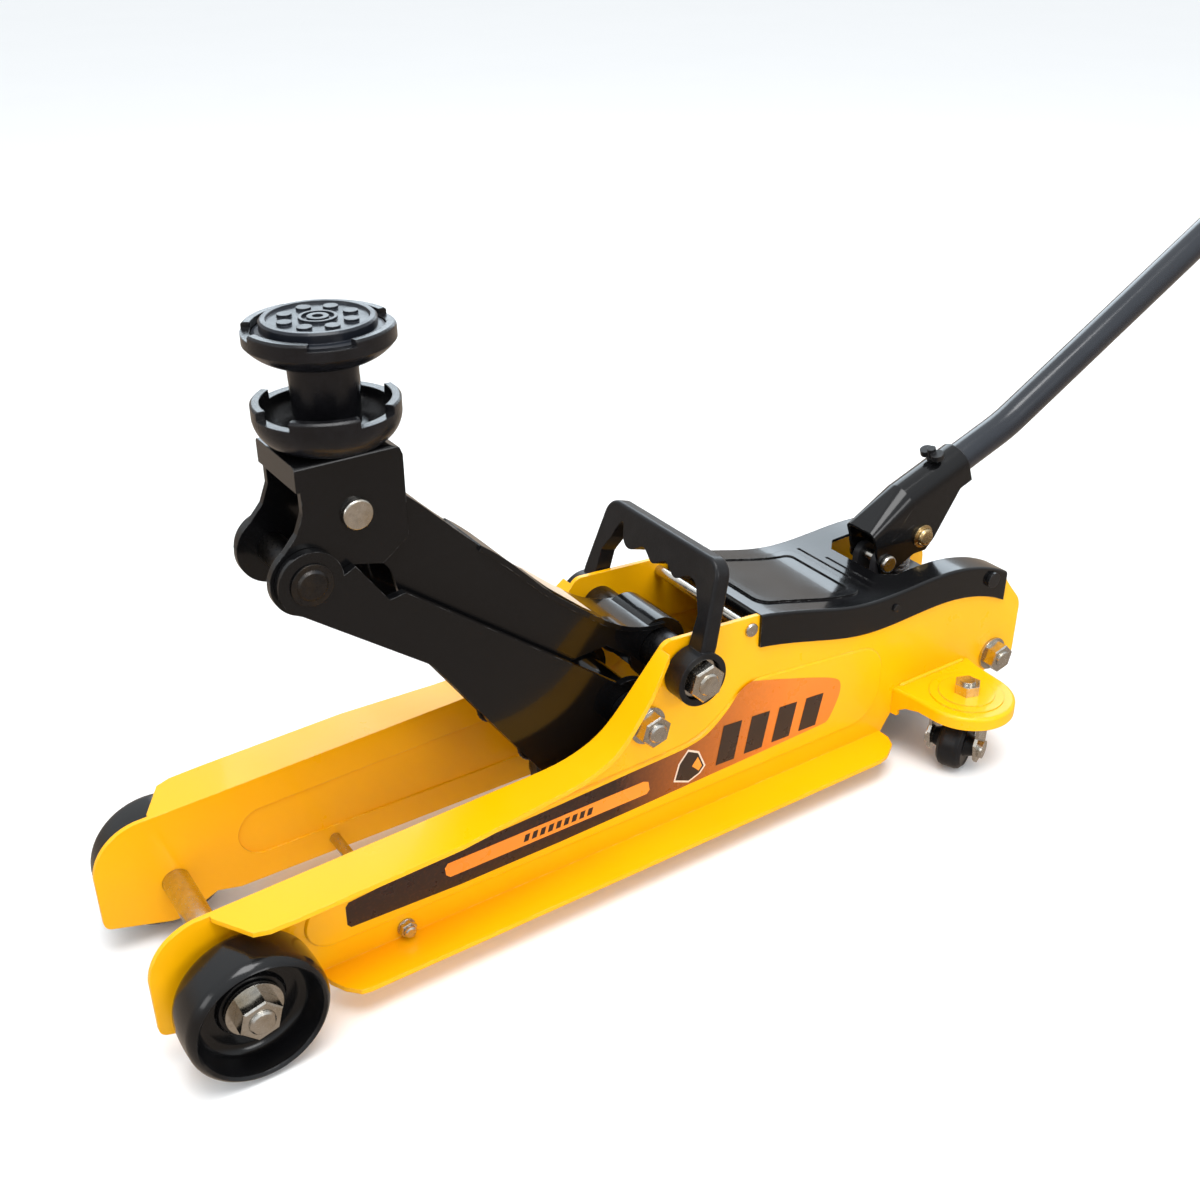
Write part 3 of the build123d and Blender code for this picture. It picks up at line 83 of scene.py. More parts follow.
class Nodes:
    """A short way to write a material's node tree."""

    def __init__(self, name):
        self.mat = bpy.data.materials.new(name)
        self.mat.use_nodes = True
        self.tree = self.mat.node_tree
        self.tree.nodes.clear()
        self.out = self.new("ShaderNodeOutputMaterial")
        self.bsdf = self.new("ShaderNodeBsdfPrincipled")
        self.link(self.bsdf.outputs[0], self.out.inputs[0])
        self.coords = self.new("ShaderNodeTexCoord").outputs["Object"]

    def new(self, kind, **values):
        node = self.tree.nodes.new(kind)
        for key, value in values.items():
            setattr(node, key, value)
        return node

    def link(self, a, b):
        self.tree.links.new(a, b)

    def set(self, **values):
        for key, value in values.items():
            self.bsdf.inputs[key.replace("_", " ")].default_value = value

    def colour(self, value):
        self.link(value, self.bsdf.inputs["Base Color"])

    def roughness(self, value):
        self.link(value, self.bsdf.inputs["Roughness"])

    def noise(self, scale, detail=4.0, roughness=0.55, stretch=None):
        node = self.new("ShaderNodeTexNoise")
        node.inputs["Scale"].default_value = scale
        node.inputs["Detail"].default_value = detail
        node.inputs["Roughness"].default_value = roughness
        source = self.coords
        if stretch:
            mapping = self.new("ShaderNodeMapping")
            mapping.inputs["Scale"].default_value = stretch
            self.link(self.coords, mapping.inputs[0])
            source = mapping.outputs[0]
        self.link(source, node.inputs["Vector"])
        return node.outputs["Fac"]

    def span(self, value, low, high, to_low=0.0, to_high=1.0):
        node = self.new("ShaderNodeMapRange")
        for index, number in enumerate((low, high, to_low, to_high)):
            node.inputs[index + 1].default_value = number
        self.link(value, node.inputs[0])
        return node.outputs[0]

    def blend(self, factor, a, b):
        """Colour a where the factor is 0, and b where it is 1."""
        node = self.new("ShaderNodeMix", data_type="RGBA")
        self.link(factor, node.inputs[0])
        for socket, value in ((node.inputs[6], a), (node.inputs[7], b)):
            if isinstance(value, tuple):
                socket.default_value = (*value, 1.0)
            else:
                self.link(value, socket)
        return node.outputs[2]

    def math(self, operation, a, b):
        node = self.new("ShaderNodeMath", operation=operation)
        self.link(a, node.inputs[0])
        self.link(b, node.inputs[1])
        return node.outputs[0]

    def edge(self, radius, low, high):
        """Near 1 on sharp edges and 0 on flat faces, from rounded against true normals."""
        bevel = self.new("ShaderNodeBevel", samples=4)
        bevel.inputs["Radius"].default_value = radius
        geometry = self.new("ShaderNodeNewGeometry")
        dot = self.new("ShaderNodeVectorMath", operation="DOT_PRODUCT")
        self.link(bevel.outputs[0], dot.inputs[0])
        self.link(geometry.outputs["Normal"], dot.inputs[1])
        return self.span(dot.outputs["Value"], high, low)

    def relief(self, height, strength, distance, bevel=0.0):
        """Bump from a height value, over edges that look rounded where a bevel is given."""
        bump = self.new("ShaderNodeBump")
        bump.inputs["Strength"].default_value = strength
        bump.inputs["Distance"].default_value = distance
        self.link(height, bump.inputs["Height"])
        if bevel:
            rounded = self.new("ShaderNodeBevel", samples=4)
            rounded.inputs["Radius"].default_value = bevel
            self.link(rounded.outputs[0], bump.inputs["Normal"])
        self.link(bump.outputs[0], self.bsdf.inputs["Normal"])


def scaled(colour, factor, lift=0.0):
    return tuple(channel * factor + lift for channel in colour)


def paint(name, base, rough, coat, vary, edge_chip_and_highlight, shine, peel=0.12):
    """Sprayed gloss paint: orange peel, faint dust, and sharp edges lightened, partly as rubbed wear and
    partly as a painted highlight.
    """
    n = Nodes(name)
    colour = n.blend(n.span(n.noise(9, 5), 0.35, 0.7), base, scaled(base, 1 - vary))
    dust = n.span(n.noise(60, 8, 0.7), 0.62, 0.8, 0.0, 0.25)
    colour = n.blend(dust, colour, tuple(min(1.0, c) for c in scaled(base, 1.15, 0.008)))
    # Lighter colour along sharp edges: partly rubbed wear, partly a painted highlight of edges catching the
    # light.
    worn_and_highlight = n.math("MULTIPLY", n.edge(0.0008, 0.80, 0.97), n.span(n.noise(140, 6), 0.50, 0.62))
    n.colour(n.blend(worn_and_highlight, colour, edge_chip_and_highlight))
    n.roughness(n.span(n.noise(26, 6), 0.3, 0.75, rough * 0.8, rough * 1.35))
    n.set(Coat_Weight=coat, Coat_Roughness=0.05, Coat_IOR=1.35, Specular_IOR_Level=shine)
    n.relief(n.noise(420, 2), peel, 0.0004, 0.0008)
    return n.mat


def steel(name, base, rough, grime, stain, brushed=(1, 1, 1)):
    """Plated or bare steel with fine machining marks and slight stains."""
    n = Nodes(name)
    colour = n.blend(n.span(n.noise(70, 6, 0.65), 0.42, 0.72), base, stain)
    dirt = n.span(n.noise(300, 4), 0.45, 0.8, 0.0, grime)
    n.colour(n.blend(dirt, colour, scaled(base, 0.35)))
    lines = n.noise(900, 3, 0.6, brushed)
    n.roughness(n.span(lines, 0.3, 0.75, rough * 0.7, rough * 1.4))
    n.set(Metallic=1.0)
    n.relief(lines, 0.10, 0.0002, 0.0005)
    return n.mat


def moulded(name, base, rough, grain, strength, coat=0.0, bloom_and_sheen=(0.05, 0.05, 0.055)):
    """Moulded plastic or rubber with grain and a pale bloom; on the pad the bloom and base are tinted blue
    as a painted sheen.
    """
    n = Nodes(name)
    colour = n.blend(n.span(n.noise(35, 6, 0.7), 0.5, 0.85, 0.0, 0.6), base, bloom_and_sheen)
    scuff = n.math("MULTIPLY", n.edge(0.001, 0.85, 0.98), n.span(n.noise(220, 5), 0.4, 0.65))
    n.colour(n.blend(scuff, colour, scaled(bloom_and_sheen, 1.7, 0.01)))
    n.roughness(n.span(n.noise(80, 5), 0.3, 0.75, rough * 0.8, rough * 1.3))
    n.set(Coat_Weight=coat, Coat_Roughness=0.1, Coat_IOR=1.35, Specular_IOR_Level=0.25)
    n.relief(n.noise(grain, 3), strength, 0.0004, 0.0008)
    return n.mat


def cast(name, base, rough):
    """Painted casting: coarse skin under satin paint."""
    n = Nodes(name)
    n.colour(n.blend(n.span(n.noise(45, 7, 0.7), 0.4, 0.8), base, scaled(base, 1.9, 0.004)))
    n.roughness(n.span(n.noise(150, 6), 0.3, 0.75, rough * 0.75, rough * 1.3))
    n.set(Coat_Weight=0.25, Coat_Roughness=0.15, Coat_IOR=1.35, Specular_IOR_Level=0.25)
    n.relief(n.noise(520, 5, 0.65), 0.35, 0.0006, 0.001)
    return n.mat


# Edge colours for the paints: partly chipped or rubbed paint, partly a painted highlight on the edges.
grey_chip_and_highlight = (0.10, 0.10, 0.10)
yellow_chip_and_highlight = (0.95, 0.60, 0.10)
paints = {
    "yellow_paint": dict(
        base=(1.0, 0.47, 0.0), rough=0.32, coat=0.35, vary=0.05, edge_chip_and_highlight=yellow_chip_and_highlight, shine=0.25
    ),
    "black_paint": dict(
        base=(0.004, 0.004, 0.0045), rough=0.16, coat=0.4, vary=0.2, edge_chip_and_highlight=grey_chip_and_highlight, shine=0.22, peel=0.06
    ),
    # The lever paint's blue-grey tint is a painted reflection of a cool sky, not the paint's own colour.
    "lever_paint": dict(
        base=(0.012, 0.015, 0.021), rough=0.2, coat=0.5, vary=0.2, edge_chip_and_highlight=grey_chip_and_highlight, shine=0.4, peel=0.06
    ),
    "cylinder_paint": dict(
        base=(0.02, 0.02, 0.022), rough=0.3, coat=0.3, vary=0.3, edge_chip_and_highlight=grey_chip_and_highlight, shine=0.3
    ),
    "black_steel": dict(
        base=(0.008, 0.008, 0.009), rough=0.3, coat=0.2, vary=0.3, edge_chip_and_highlight=grey_chip_and_highlight, shine=0.3
    ),
}
steels = {
    "zinc_steel": dict(base=(0.60, 0.58, 0.54), rough=0.22, grime=0.35, stain=(0.50, 0.44, 0.35)),
    "gold_steel": dict(base=(0.62, 0.45, 0.22), rough=0.24, grime=0.25, stain=(0.55, 0.47, 0.32)),
    "dark_steel": dict(base=(0.045, 0.045, 0.048), rough=0.34, grime=0.3, stain=(0.07, 0.06, 0.05)),
    "spring_steel": dict(base=(0.30, 0.30, 0.31), rough=0.3, grime=0.3, stain=(0.22, 0.20, 0.18)),
    "ram_steel": dict(
        base=(0.78, 0.78, 0.79), rough=0.12, grime=0.08, stain=(0.72, 0.71, 0.68), brushed=(1, 30, 1)
    ),
}
mouldings = {
    "black_plastic": dict(
        base=(0.004, 0.004, 0.0045), rough=0.18, grain=240, strength=0.05,
        coat=0.5, bloom_and_sheen=(0.008, 0.008, 0.009),
    ),
    "castor_plastic": dict(
        base=(0.007, 0.007, 0.008), rough=0.38, grain=500, strength=0.15, bloom_and_sheen=(0.02, 0.02, 0.022)
    ),
    "handle_plastic": dict(
        base=(0.006, 0.006, 0.007), rough=0.34, grain=900, strength=0.25,
        coat=0.1, bloom_and_sheen=(0.016, 0.016, 0.018),
    ),
    "grip_rubber": dict(base=(0.010, 0.010, 0.010), rough=0.6, grain=700, strength=0.4),
    # The pad's blue tint, in its base and its bloom, is a painted sheen.
    "pad_rubber": dict(
        base=(0.009, 0.011, 0.016), rough=0.34, grain=800, strength=0.2,
        coat=0.2, bloom_and_sheen=(0.016, 0.02, 0.03),
    ),
}
castings = {
    "block_iron": dict(base=(0.02, 0.02, 0.022), rough=0.4),
    "black_iron": dict(base=(0.004, 0.004, 0.005), rough=0.2),
}
look = {}
for make, finishes in ((paint, paints), (steel, steels), (moulded, mouldings), (cast, castings)):
    for slot, values in finishes.items():
        look[slot] = make(slot, **values)
for part in frame["record"]["subparts"]:
    node = frame["nodes"][part["node"]]
    node.data.materials.clear()
    node.data.materials.append(look[part["material_slot"]])

# ------------------------------------------------------------ mesh helpers


def piece(name, points, faces, slot, body=None, material=None, smooth=False):
    """A new visible piece, which rides a body when one is given."""
    mesh = bpy.data.meshes.new(name)
    mesh.from_pydata([tuple(p) for p in points], [], faces)
    mesh.update()
    obj = bpy.data.objects.new(name, mesh)
    bpy.context.scene.collection.objects.link(obj)
    obj.data.materials.append(material or look[slot])
    if smooth:
        mesh.shade_smooth()
    if body:
        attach(obj, body)
    return obj


def ring(centre, u, v, radius, sides):
    """Points of a circle across the directions u and v."""
    angles = [2 * math.pi * k / sides for k in range(sides)]
    return [centre + (u * math.cos(a) + v * math.sin(a)) * radius for a in angles]


def ring_faces(rings, sides):
    """Faces of a closed skin over rings of points that follow each other."""
    faces = []
    for i in range(rings - 1):
        for k in range(sides):
            m = (k + 1) % sides
            faces.append((i * sides + k, i * sides + m, (i + 1) * sides + m, (i + 1) * sides + k))
    faces.append(tuple(reversed(range(sides))))
    faces.append(tuple((rings - 1) * sides + k for k in range(sides)))
    return faces


def prism_faces(count):
    """Faces between two outlines of count points, the first outline's points before the second's."""
    faces = [tuple(range(count)), tuple(reversed(range(count, 2 * count)))]
    faces += [(i, (i + 1) % count, (i + 1) % count + count, i + count) for i in range(count)]
    return faces


def tube(path, radii, sides=10):
    """Points and faces of a round tube along a path, with a radius at every point."""
    points = []
    side = None
    for i, p in enumerate(path):
        ahead = path[min(i + 1, len(path) - 1)] - path[max(i - 1, 0)]
        ahead.normalize()
        if side is None:
            side = ahead.orthogonal().normalized()
        side = (side - ahead * side.dot(ahead)).normalized()
        points += ring(p, side, ahead.cross(side), radii[i], sides)
    return points, ring_faces(len(path), sides)


def lathe(centre, axis, profile, sides=48):
    """Surface of revolution: profile is (distance along the axis, radius) pairs."""
    axis = Vector(axis).normalized()
    u = axis.orthogonal().normalized()
    v = axis.cross(u)
    points = []
    for along, radius in profile:
        points += ring(centre + axis * along, u, v, radius, sides)
    return points, ring_faces(len(profile), sides)


# ------------------------------------------------------------- coil springs
spring_wire = 0.9 * MM  # the wire's radius
dead_turns = 1.5
dead_pitch = 2.1  # wire radii from one dead turn to the next


def helix(start, end, radius, turns, per_turn):
    """Centre line of a coil spring, with closed dead turns at both ends."""
    line = end - start
    length = line.length
    axis = line.normalized()
    u = axis.orthogonal().normalized()
    v = axis.cross(u)
    wire = spring_wire
    span = length - 2 * wire - 2 * wire * dead_pitch * dead_turns
    points = []
    for i in range(int(turns * per_turn) + 1):
        t = i / per_turn
        dead = wire * dead_pitch * min(t, dead_turns)
        left = wire * dead_pitch * min(turns - t, dead_turns)
        live = max(0.0, min(1.0, (t - dead_turns) / (turns - 2 * dead_turns)))
        along = wire + dead + live * span
        if t > turns - dead_turns:
            along = length - wire - left
        a = 2 * math.pi * t
        points.append(start + axis * along + (u * math.cos(a) + v * math.sin(a)) * radius)
    return points


def coil(name, start, end, outer, turns, per_turn, sides):
    """A wound spring between two points, outer being its outside radius."""
    line = helix(start, end, outer - spring_wire, turns, per_turn)
    points, faces = tube(line, [spring_wire] * len(line), sides)
    return piece(name, points, faces, "spring_steel", smooth=True)


low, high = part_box("return_springs")
for side, tag in SIDES:
    outer = (high[2] - low[2]) / 2
    x = side * (high[0] - outer)
    z = (low[2] + high[2]) / 2
    front, rear = Vector((x, low[1], z)), Vector((x, high[1], z))
    spring = coil(f"return_spring_{tag}", front, rear, outer, turns=46, per_turn=14, sides=6)
    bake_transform(spring)
    if side > 0:
        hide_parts("return_springs")

low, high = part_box("plunger_spring")
centre = middle("plunger_spring")
foot, top = Vector((centre.x, centre.y, low[2])), Vector((centre.x, centre.y, high[2]))
spring = coil("plunger_coil", foot, top, (high[0] - low[0]) / 2, turns=8, per_turn=24, sides=8)
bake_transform(spring)
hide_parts("plunger_spring")

# ------------------------------------------------------------- side labels
film_thick = 0.12
# How far each printed layer stands off the panel: the label, what lies on it, and so on upwards.
label_lift, strip_lift, ink_lift, facet_lift = 0.02, 0.16, 0.3, 0.44


def label_material(name, front, rear, start, end, rough=0.3):
    """Printed film whose ink goes from one colour to another between two stations."""
    n = Nodes(name)
    axes = n.new("ShaderNodeSeparateXYZ")
    n.link(n.coords, axes.inputs[0])
    ramp = n.span(axes.outputs[1], axle.y + start * MM, axle.y + end * MM)
    grain = n.span(n.noise(500, 3), 0.3, 0.7, -0.03, 0.03)
    n.colour(n.blend(n.math("ADD", ramp, grain), front, rear))
    n.roughness(n.span(n.noise(90, 4), 0.3, 0.7, rough * 0.8, rough * 1.3))
    n.set(Coat_Weight=0.15, Coat_Roughness=0.15, Specular_IOR_Level=0.3)
    n.relief(n.noise(260, 2), 0.05, 0.0002)
    return n.mat


def film(name, outline, lift, side, slot, material):
    """A thin printed film lying on a web's pressed panel; its outline is (station, height) pairs."""
    points = []
    for x in (panel_face + lift, panel_face + lift + film_thick):
        points += [spot(station, height, side * x) for station, height in outline]
    sheet = piece(name, points, prism_faces(len(outline)), slot, "chassis", material)
    work = bmesh.new()
    work.from_mesh(sheet.data)
    bmesh.ops.recalc_face_normals(work, faces=work.faces)
    bmesh.ops.triangulate(work, faces=work.faces)
    work.to_mesh(sheet.data)
    work.free()


def smooth_run(points, steps=6):
    """Catmull-Rom points through a list of pairs."""
    last = len(points) - 1
    out = []
    for i in range(last):
        p0, p1, p2, p3 = (Vector(points[max(0, min(last, i + k))]) for k in (-1, 0, 1, 2))
        for j in range(steps):
            t = j / steps
            square = 2 * p0 - 5 * p1 + 4 * p2 - p3
            cube = 3 * p1 - p0 - 3 * p2 + p3
            out.append(tuple(0.5 * (2 * p1 + (p2 - p0) * t + square * t * t + cube * t ** 3)))
    out.append(tuple(points[-1]))
    return out


def shrunk(outline, centre, factor):
    centre = Vector(centre)
    return [tuple(centre + (Vector(p) - centre) * factor) for p in outline]


front_end = [(64, 42.5), (62, 45), (62, 57), (64, 59.5)]
top_edge = [(95, 62.5), (144, 65.5), (197, 67.5), (247, 69.8)]
shoulder = smooth_run([(268, 70.5), (289, 71.8), (304, 76), (318, 87), (328, 98), (337, 102)])
rear_end = smooth_run([(360, 95.5), (390, 86), (407, 79.5), (412.5, 74), (412, 64), (405, 49.5), (400, 47)])
bottom_edge = [(364, 45.7), (331, 44.7), (299, 43.7), (254, 42.3), (197, 40.8), (130, 40.4)]
label_outline = front_end + top_edge + shoulder + rear_end + bottom_edge
strip_front = [(124.5, 48.6), (122, 51), (121.5, 56), (123.5, 58.4)]
strip_rear = [(256, 59.6), (259.6, 58), (260.6, 52), (258.5, 49.6)]
badge_outline = [(289, 70), (297.5, 65.5), (303, 53), (299, 48.5), (290, 45.2), (278.5, 50), (282, 62)]
badge_middle = (290.5, 56.8)
facet_middle = (295, 56)
tick_count, tick_first, tick_pitch = 9, 172, 5.4
bar_count, bar_first, bar_pitch, bar_head, bar_fall = 4, 311, 22.5, 76, 1.4

label_ink = label_material("label_ink", (0.030, 0.014, 0.010), (0.82, 0.21, 0.018), 235, 375)
dark_film = label_material("label_dark", (0.028, 0.016, 0.012), (0.045, 0.024, 0.014), 120, 420)
glow = label_material("label_orange", (0.88, 0.26, 0.02), (0.98, 0.33, 0.03), 120, 420)
pale = label_material("label_pale", (0.80, 0.60, 0.46), (0.86, 0.66, 0.50), 120, 420)
for side, tag in SIDES:
    film(f"label_film_{tag}", label_outline, label_lift, side, "black_paint", label_ink)
    film(f"label_strip_{tag}", strip_front + strip_rear, strip_lift, side, "yellow_paint", glow)
    for index in range(tick_count):
        foot = tick_first + tick_pitch * index
        tick = [(foot, 51.6), (foot + 3.2, 51.7), (foot + 4.6, 56.4), (foot + 1.4, 56.3)]
        film(f"label_tick_{tag}_{index}", tick, ink_lift, side, "black_paint", dark_film)
    film(f"label_badge_{tag}", badge_outline, strip_lift, side, "yellow_paint", pale)
    inside = shrunk(badge_outline, badge_middle, 0.88)
    film(f"label_badge_ink_{tag}", inside, ink_lift, side, "black_paint", dark_film)
    facet = shrunk(badge_outline[1:4] + [badge_middle], facet_middle, 0.62)
    film(f"label_badge_facet_{tag}", facet, facet_lift, side, "yellow_paint", glow)
    for index in range(bar_count):
        foot = bar_first + bar_pitch * index
        head = bar_head - bar_fall * index
        bar = [(foot, 49.5), (foot + 14.5, 49), (foot + 19.5, head), (foot + 5, head + 1)]
        film(f"label_bar_{tag}_{index}", bar, ink_lift, side, "black_paint", dark_film)

# ----------------------------------------------------- paper label on the arm
# The paper follows the arm's top: (reach from the arm's pivot, rise off the line to the bracket pin).
paper_run = [(60, 2.3), (68, 2.3), (78, 2.8), (88, 3.4), (98, 4.1), (106, 5.2), (112, 6.1)]
paper_half = 16
paper_bottom, paper_top = 0.75, 0.9
up_arm = joints["upper_link"]["pos_m"]
arm_pivot = Vector((0, up_arm[1], up_arm[2]))
arm_way = middle("bracket_pin") - arm_pivot
arm_way = Vector((0, arm_way.y, arm_way.z)).normalized()
arm_up = Vector((0, -arm_way.z, arm_way.y))
if arm_up.z < 0:
    arm_up = -arm_up
paper = label_material("label_paper", (0.78, 0.62, 0.45), (0.85, 0.70, 0.53), 170, 260, 0.45)
points, faces = [], []
for reach, rise in paper_run:
    for x in (-paper_half, paper_half):
        for lift in (paper_bottom, paper_top):
            in_line = arm_pivot + arm_way * reach * MM + arm_up * (rise + lift) * MM
            points.append(in_line + Vector((x * MM, 0, 0)))
for i in range(len(paper_run) - 1):
    a, b = 4 * i, 4 * (i + 1)
    faces += [(a + 1, a + 3, b + 3, b + 1), (a, b, b + 2, a + 2)]
    faces += [(a, a + 1, b + 1, b), (a + 2, b + 2, b + 3, a + 3)]
end = 4 * (len(paper_run) - 1)
faces += [(0, 2, 3, 1), (end, end + 1, end + 3, end + 2)]
piece("arm_paper", points, faces, "black_paint", "upper_arm", paper)

# ------------------------------------------------- folded cheeks of the socket
# Each cheek of the CAD socket has a small opening under the lever. A plate let into it covers that.
# The plate's outline is (reach along the lever from its pivot, drop below the lever's line).
cheek = [(-32, 12.5), (-29.5, 10), (-8.8, -1), (-7, -1), (-7, 12.5)]
cheek_deep, cheek_proud = 2.2, 0.06
cheek_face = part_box("handle_socket")[1][0] / MM
lever_line = Vector(joints["valve_twist"]["axis"])
lever_down = Vector((0, lever_line.z, -lever_line.y))
lever_start = Vector(joints["valve_twist"]["pos_m"])
for side, tag in SIDES:
    points = [
        lever_start + (lever_line * reach + lever_down * drop) * MM + Vector((side * x * MM, 0, 0))
        for x in (cheek_face - cheek_deep, cheek_face + cheek_proud)
        for reach, drop in cheek
    ]
    faces = prism_faces(len(cheek))
    if side < 0:
        faces = [tuple(reversed(face)) for face in faces]
    piece(f"socket_cheek_{tag}", points, faces, "black_paint", "socket")

# ------------------------------------------------------------ screw threads
thread_pitch = 1.6 * MM
thread_depth = 0.55 * MM
thread_proud = 0.18 * MM
thread_inside = 1 * MM
thread_short = 0.3 * MM
# Each thread's shaft, the nut it comes out of, and the shaft's radius there in millimetres.
thread_ends = (
    ("axle", "front_axle", "axle_nuts", 7.0),
    ("upper", "upper_pivot_shaft", "upper_pivot_nuts", 7.0),
    ("lift", "lift_pivot_shaft", "chassis_nuts", 6.0),
    ("rear", "rear_tie_bolt", "chassis_nuts", 6.0),
)


def thread(name, start, axis, radius, length):
    """Ridges round the end of a shaft, from inside its nut to just short of its tip."""
    ridge = radius + thread_proud
    root = ridge - thread_depth
    turns = max(2, int(length / thread_pitch))
    step = length / turns
    profile = [(0.0, radius - thread_depth)]
    for i in range(turns):
        for part, level in ((0.15, root), (0.45, ridge), (0.6, ridge), (0.9, root)):
            profile.append((step * (i + part), level))
    profile.append((length, radius - thread_depth * 1.6))
    points, faces = lathe(start, axis, profile, 40)
    piece(name, points, faces, "zinc_steel", "chassis")


for side, tag in SIDES:
    for name, shaft, nut, radius in thread_ends:
        centre = middle(shaft)
        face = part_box(nut)[1][0]
        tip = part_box(shaft)[1][0]
        start = Vector((side * (face - thread_inside), centre.y, centre.z))
        thread(f"thread_{name}_{tag}", start, (side, 0, 0), radius * MM, tip - face - thread_short)

# -------------------------------------------------------------- weld beads
ripple_pitch = 2.4 * MM
weld_step = 0.6 * MM
weld_taper = 3 * MM
ear_weld_drop = 1.6 * MM
ear_weld_inset = 5 * MM
ear_weld_out = 0.6
arm_inner = 24
arm_weld_in = 0.4
hub_radius, brace_radius = 13.4 * MM, 9.5 * MM
ear_bead, hub_bead, brace_bead = 1.9 * MM, 1.6 * MM, 1.5 * MM
brace_station, brace_height = 196, 96


def point_along(path, distance):
    """The point that lies that far along a path of straight runs."""
    walked = 0.0
    for a, b in zip(path, path[1:]):
        run = (b - a).length
        if walked + run >= distance - 1e-9:
            return a.lerp(b, (distance - walked) / run)
        walked += run
    return path[-1]


def weld(name, path, radius, body, slot):
    """A run of weld: a low bead with the ripples of each pass, tapered at both ends."""
    total = sum((b - a).length for a, b in zip(path, path[1:]))
    count = max(8, int(total / weld_step))
    points, radii = [], []
    for i in range(count + 1):
        distance = total * i / count
        ripple = abs(math.sin(math.pi * distance / ripple_pitch))
        fade = min(1.0, (distance + weld_step) / weld_taper, (total - distance + weld_step) / weld_taper)
        points.append(point_along(path, distance))
        radii.append(radius * (0.8 + 0.25 * ripple) * max(0.25, fade))
    skin, faces = tube(points, radii)
    piece(name, skin, faces, slot, body, smooth=True)


def circle_path(centre, radius, steps=40):
    """A closed circle across the jack's length, as straight runs."""
    angles = [2 * math.pi * i / steps for i in range(steps + 1)]
    return [centre + Vector((0, math.cos(a), math.sin(a))) * radius for a in angles]


hub = middle("lift_pivot_shaft")
for side, tag in SIDES:
    ear_low, ear_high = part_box(f"castor_ear_{tag}")
    top = ear_high[2] - ear_weld_drop
    x = side * (web_face + ear_weld_out) * MM
    run = [Vector((x, ear_low[1] + ear_weld_inset, top)), Vector((x, ear_high[1] - ear_weld_inset, top))]
    weld(f"ear_weld_{tag}", run, ear_bead, "chassis", "yellow_paint")
    x = side * (arm_inner - arm_weld_in)
    hub_ring = circle_path(Vector((x * MM, hub.y, hub.z)), hub_radius)
    weld(f"hub_weld_{tag}", hub_ring, hub_bead, "lift_arm", "black_paint")
    brace_ring = circle_path(spot(brace_station, brace_height, x), brace_radius)
    weld(f"brace_weld_{tag}", brace_ring, brace_bead, "lift_arm", "black_paint")

# ---------------------------------------------------------------- grip ribs
grip_rise = math.radians(29)
grip_half = 46
rib_count, rib_first, rib_pitch = 15, -42, 6
groove_radius, rib_radius = 14.9 * MM, 15.7 * MM
rib_foot, rib_crest = 1.8 * MM, 1.0 * MM
profile = [(-grip_half * MM, groove_radius)]
for i in range(rib_count):
    at = (rib_first + rib_pitch * i) * MM
    profile += [(at - rib_foot, groove_radius), (at - rib_crest, rib_radius)]
    profile += [(at + rib_crest, rib_radius), (at + rib_foot, groove_radius)]
profile.append((grip_half * MM, groove_radius))
grip_axis = (0, math.cos(grip_rise), math.sin(grip_rise))
points, faces = lathe(middle("lever_grip"), grip_axis, profile)
piece("grip_ribs", points, faces, "grip_rubber", "lever")

# ------------------------------------------------------------ floor, light
floor_half = 9
floor_corners = [(x * floor_half, y * floor_half, 0) for x, y in ((-1, -1), (1, -1), (1, 1), (-1, 1))]
floor_mesh = bpy.data.meshes.new("floor")
floor_mesh.from_pydata(floor_corners, [], [(0, 1, 2, 3)])
floor = bpy.data.objects.new("floor", floor_mesh)
bpy.context.scene.collection.objects.link(floor)
ground = Nodes("floor_white")
ground.colour(ground.blend(ground.noise(3, 2), (0.93, 0.93, 0.93), (0.91, 0.91, 0.91)))
ground.set(Roughness=0.7)
floor.data.materials.append(ground.mat)
floor.visible_glossy = False


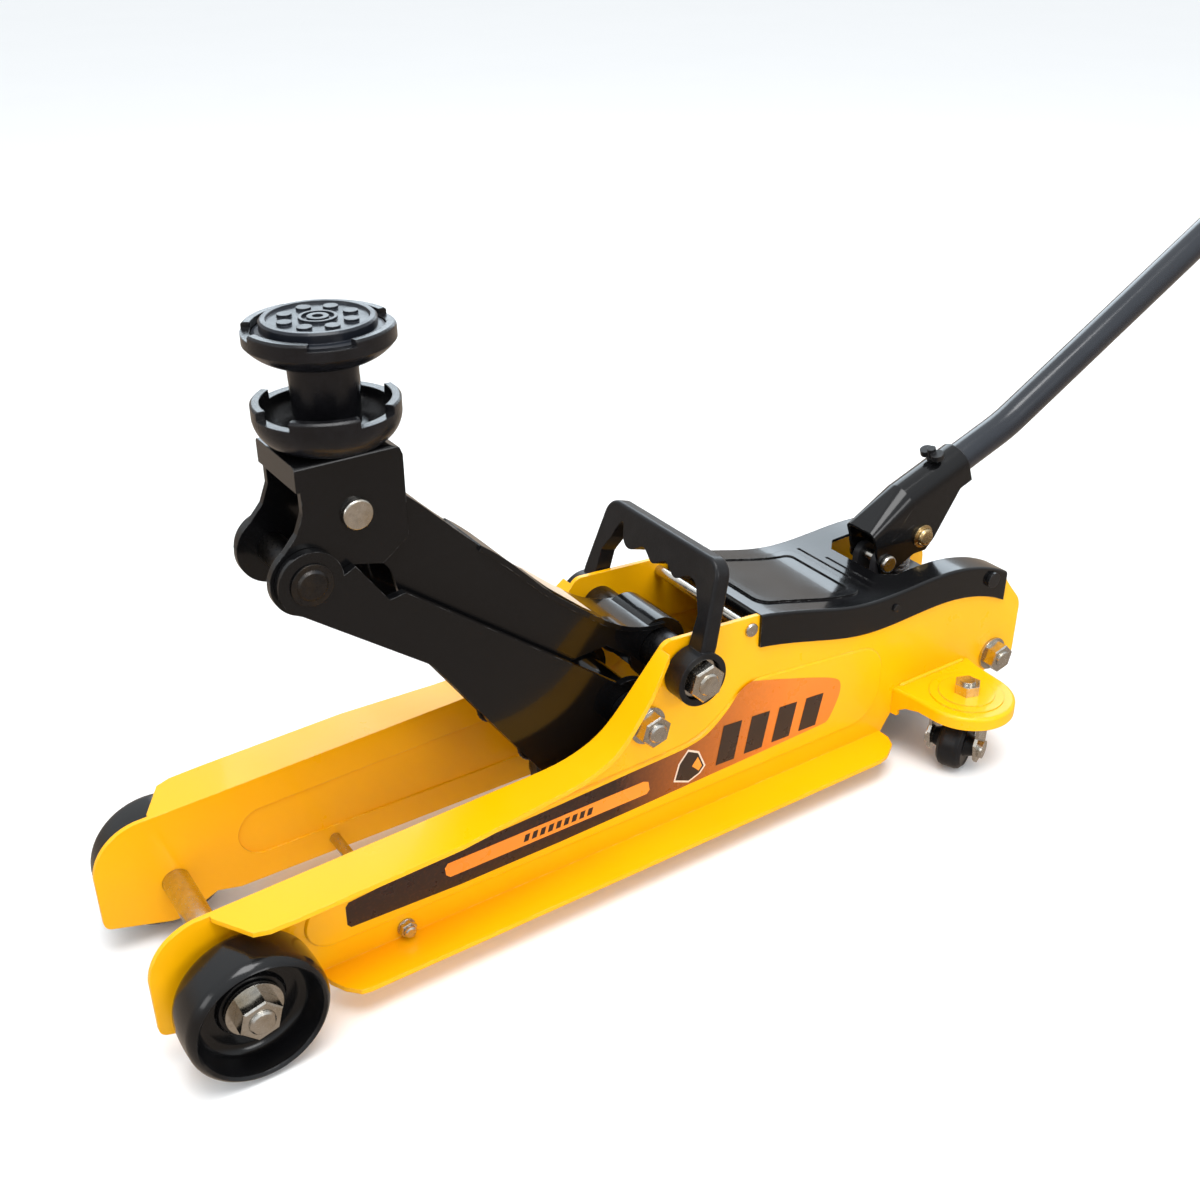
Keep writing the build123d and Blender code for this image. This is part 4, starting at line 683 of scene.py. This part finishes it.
def studio():
    """A soft sky, warm and dim near the floor, and behind the object a plain pale backdrop."""
    world = bpy.data.worlds.new("studio")
    world.use_nodes = True
    nodes, links = world.node_tree.nodes, world.node_tree.links
    axes = nodes.new("ShaderNodeSeparateXYZ")
    links.new(nodes.new("ShaderNodeTexCoord").outputs["Generated"], axes.inputs[0])

    def by_height(low, high, to_low, to_high):
        spread = nodes.new("ShaderNodeMapRange")
        for index, number in enumerate((low, high, to_low, to_high)):
            spread.inputs[index + 1].default_value = number
        links.new(axes.outputs[2], spread.inputs[0])
        return spread.outputs[0]

    tint = nodes.new("ShaderNodeMix")
    tint.data_type = "RGBA"
    links.new(by_height(-0.1, 0.3, 0.0, 1.0), tint.inputs[0])
    tint.inputs[6].default_value = (0.92, 0.76, 0.62, 1.0)
    tint.inputs[7].default_value = (0.93, 0.97, 1.0, 1.0)
    sky_light = nodes["Background"]
    links.new(tint.outputs[2], sky_light.inputs[0])
    links.new(by_height(-0.05, 0.75, 0.5, 1.15), sky_light.inputs[1])
    backdrop = nodes.new("ShaderNodeBackground")
    backdrop.inputs[0].default_value = (0.93, 0.94, 0.95, 1.0)
    pick = nodes.new("ShaderNodeMixShader")
    links.new(nodes.new("ShaderNodeLightPath").outputs["Is Camera Ray"], pick.inputs[0])
    links.new(sky_light.outputs[0], pick.inputs[1])
    links.new(backdrop.outputs[0], pick.inputs[2])
    links.new(pick.outputs[0], nodes["World Output"].inputs[0])
    return world


def softbox(name, place, aim_height, size, watts, colour=(1, 1, 1)):
    """A rectangular lamp, in metres, turned towards a point above the object's middle."""
    data = bpy.data.lights.new(name, "AREA")
    data.shape = "RECTANGLE"
    data.size, data.size_y = size
    data.energy = watts
    data.color = colour
    lamp = bpy.data.objects.new(name, data)
    lamp.location = place
    lamp.rotation_mode = "QUATERNION"
    aim = Vector((0, 0, aim_height))
    lamp.rotation_quaternion = (aim - Vector(place)).to_track_quat("-Z", "Y")
    bpy.context.scene.collection.objects.link(lamp)
    return lamp


bpy.context.scene.world = studio()
softbox("top_box", (0.5, -0.4, 2.2), 0.1, (1.2, 1.2), 34)
softbox("side_box", (2.2, 0.2, 1.1), 0.15, (0.9, 0.8), 12)
softbox("front_box", (0.3, -2.4, 1.0), 0.15, (1.0, 0.7), 7)
# This one is seen only in reflections: it gives the black paint its cool sheen.
sheen_box = softbox("sheen_box", (-1.9, 1.2, 1.35), 0.1, (2.4, 1.3), 34, (0.78, 0.90, 1.0))
sheen_box.visible_diffuse = False

# ------------------------------------------------------------------ camera
# The photograph's view: turned from the front towards the left side, and raised, in radians.
view_turn = 0.9782
view_rise = 0.5035
camera_station, camera_height, camera_out = -140.8, 553.7, 592.3
back = Vector((
    math.sin(view_turn) * math.cos(view_rise),
    -math.cos(view_turn) * math.cos(view_rise),
    math.sin(view_rise),
))
camera_data = bpy.data.cameras.new("camera")
camera_data.sensor_width = 36
camera_data.lens = 41.49
camera_data.clip_start = 0.05
camera_data.clip_end = 50
camera = bpy.data.objects.new("camera", camera_data)
camera.location = spot(camera_station, camera_height, camera_out)
camera.rotation_mode = "QUATERNION"
camera.rotation_quaternion = (-back).to_track_quat("-Z", "Y")
bpy.context.scene.collection.objects.link(camera)
bpy.context.scene.camera = camera
bpy.context.scene.view_settings.view_transform = "Standard"
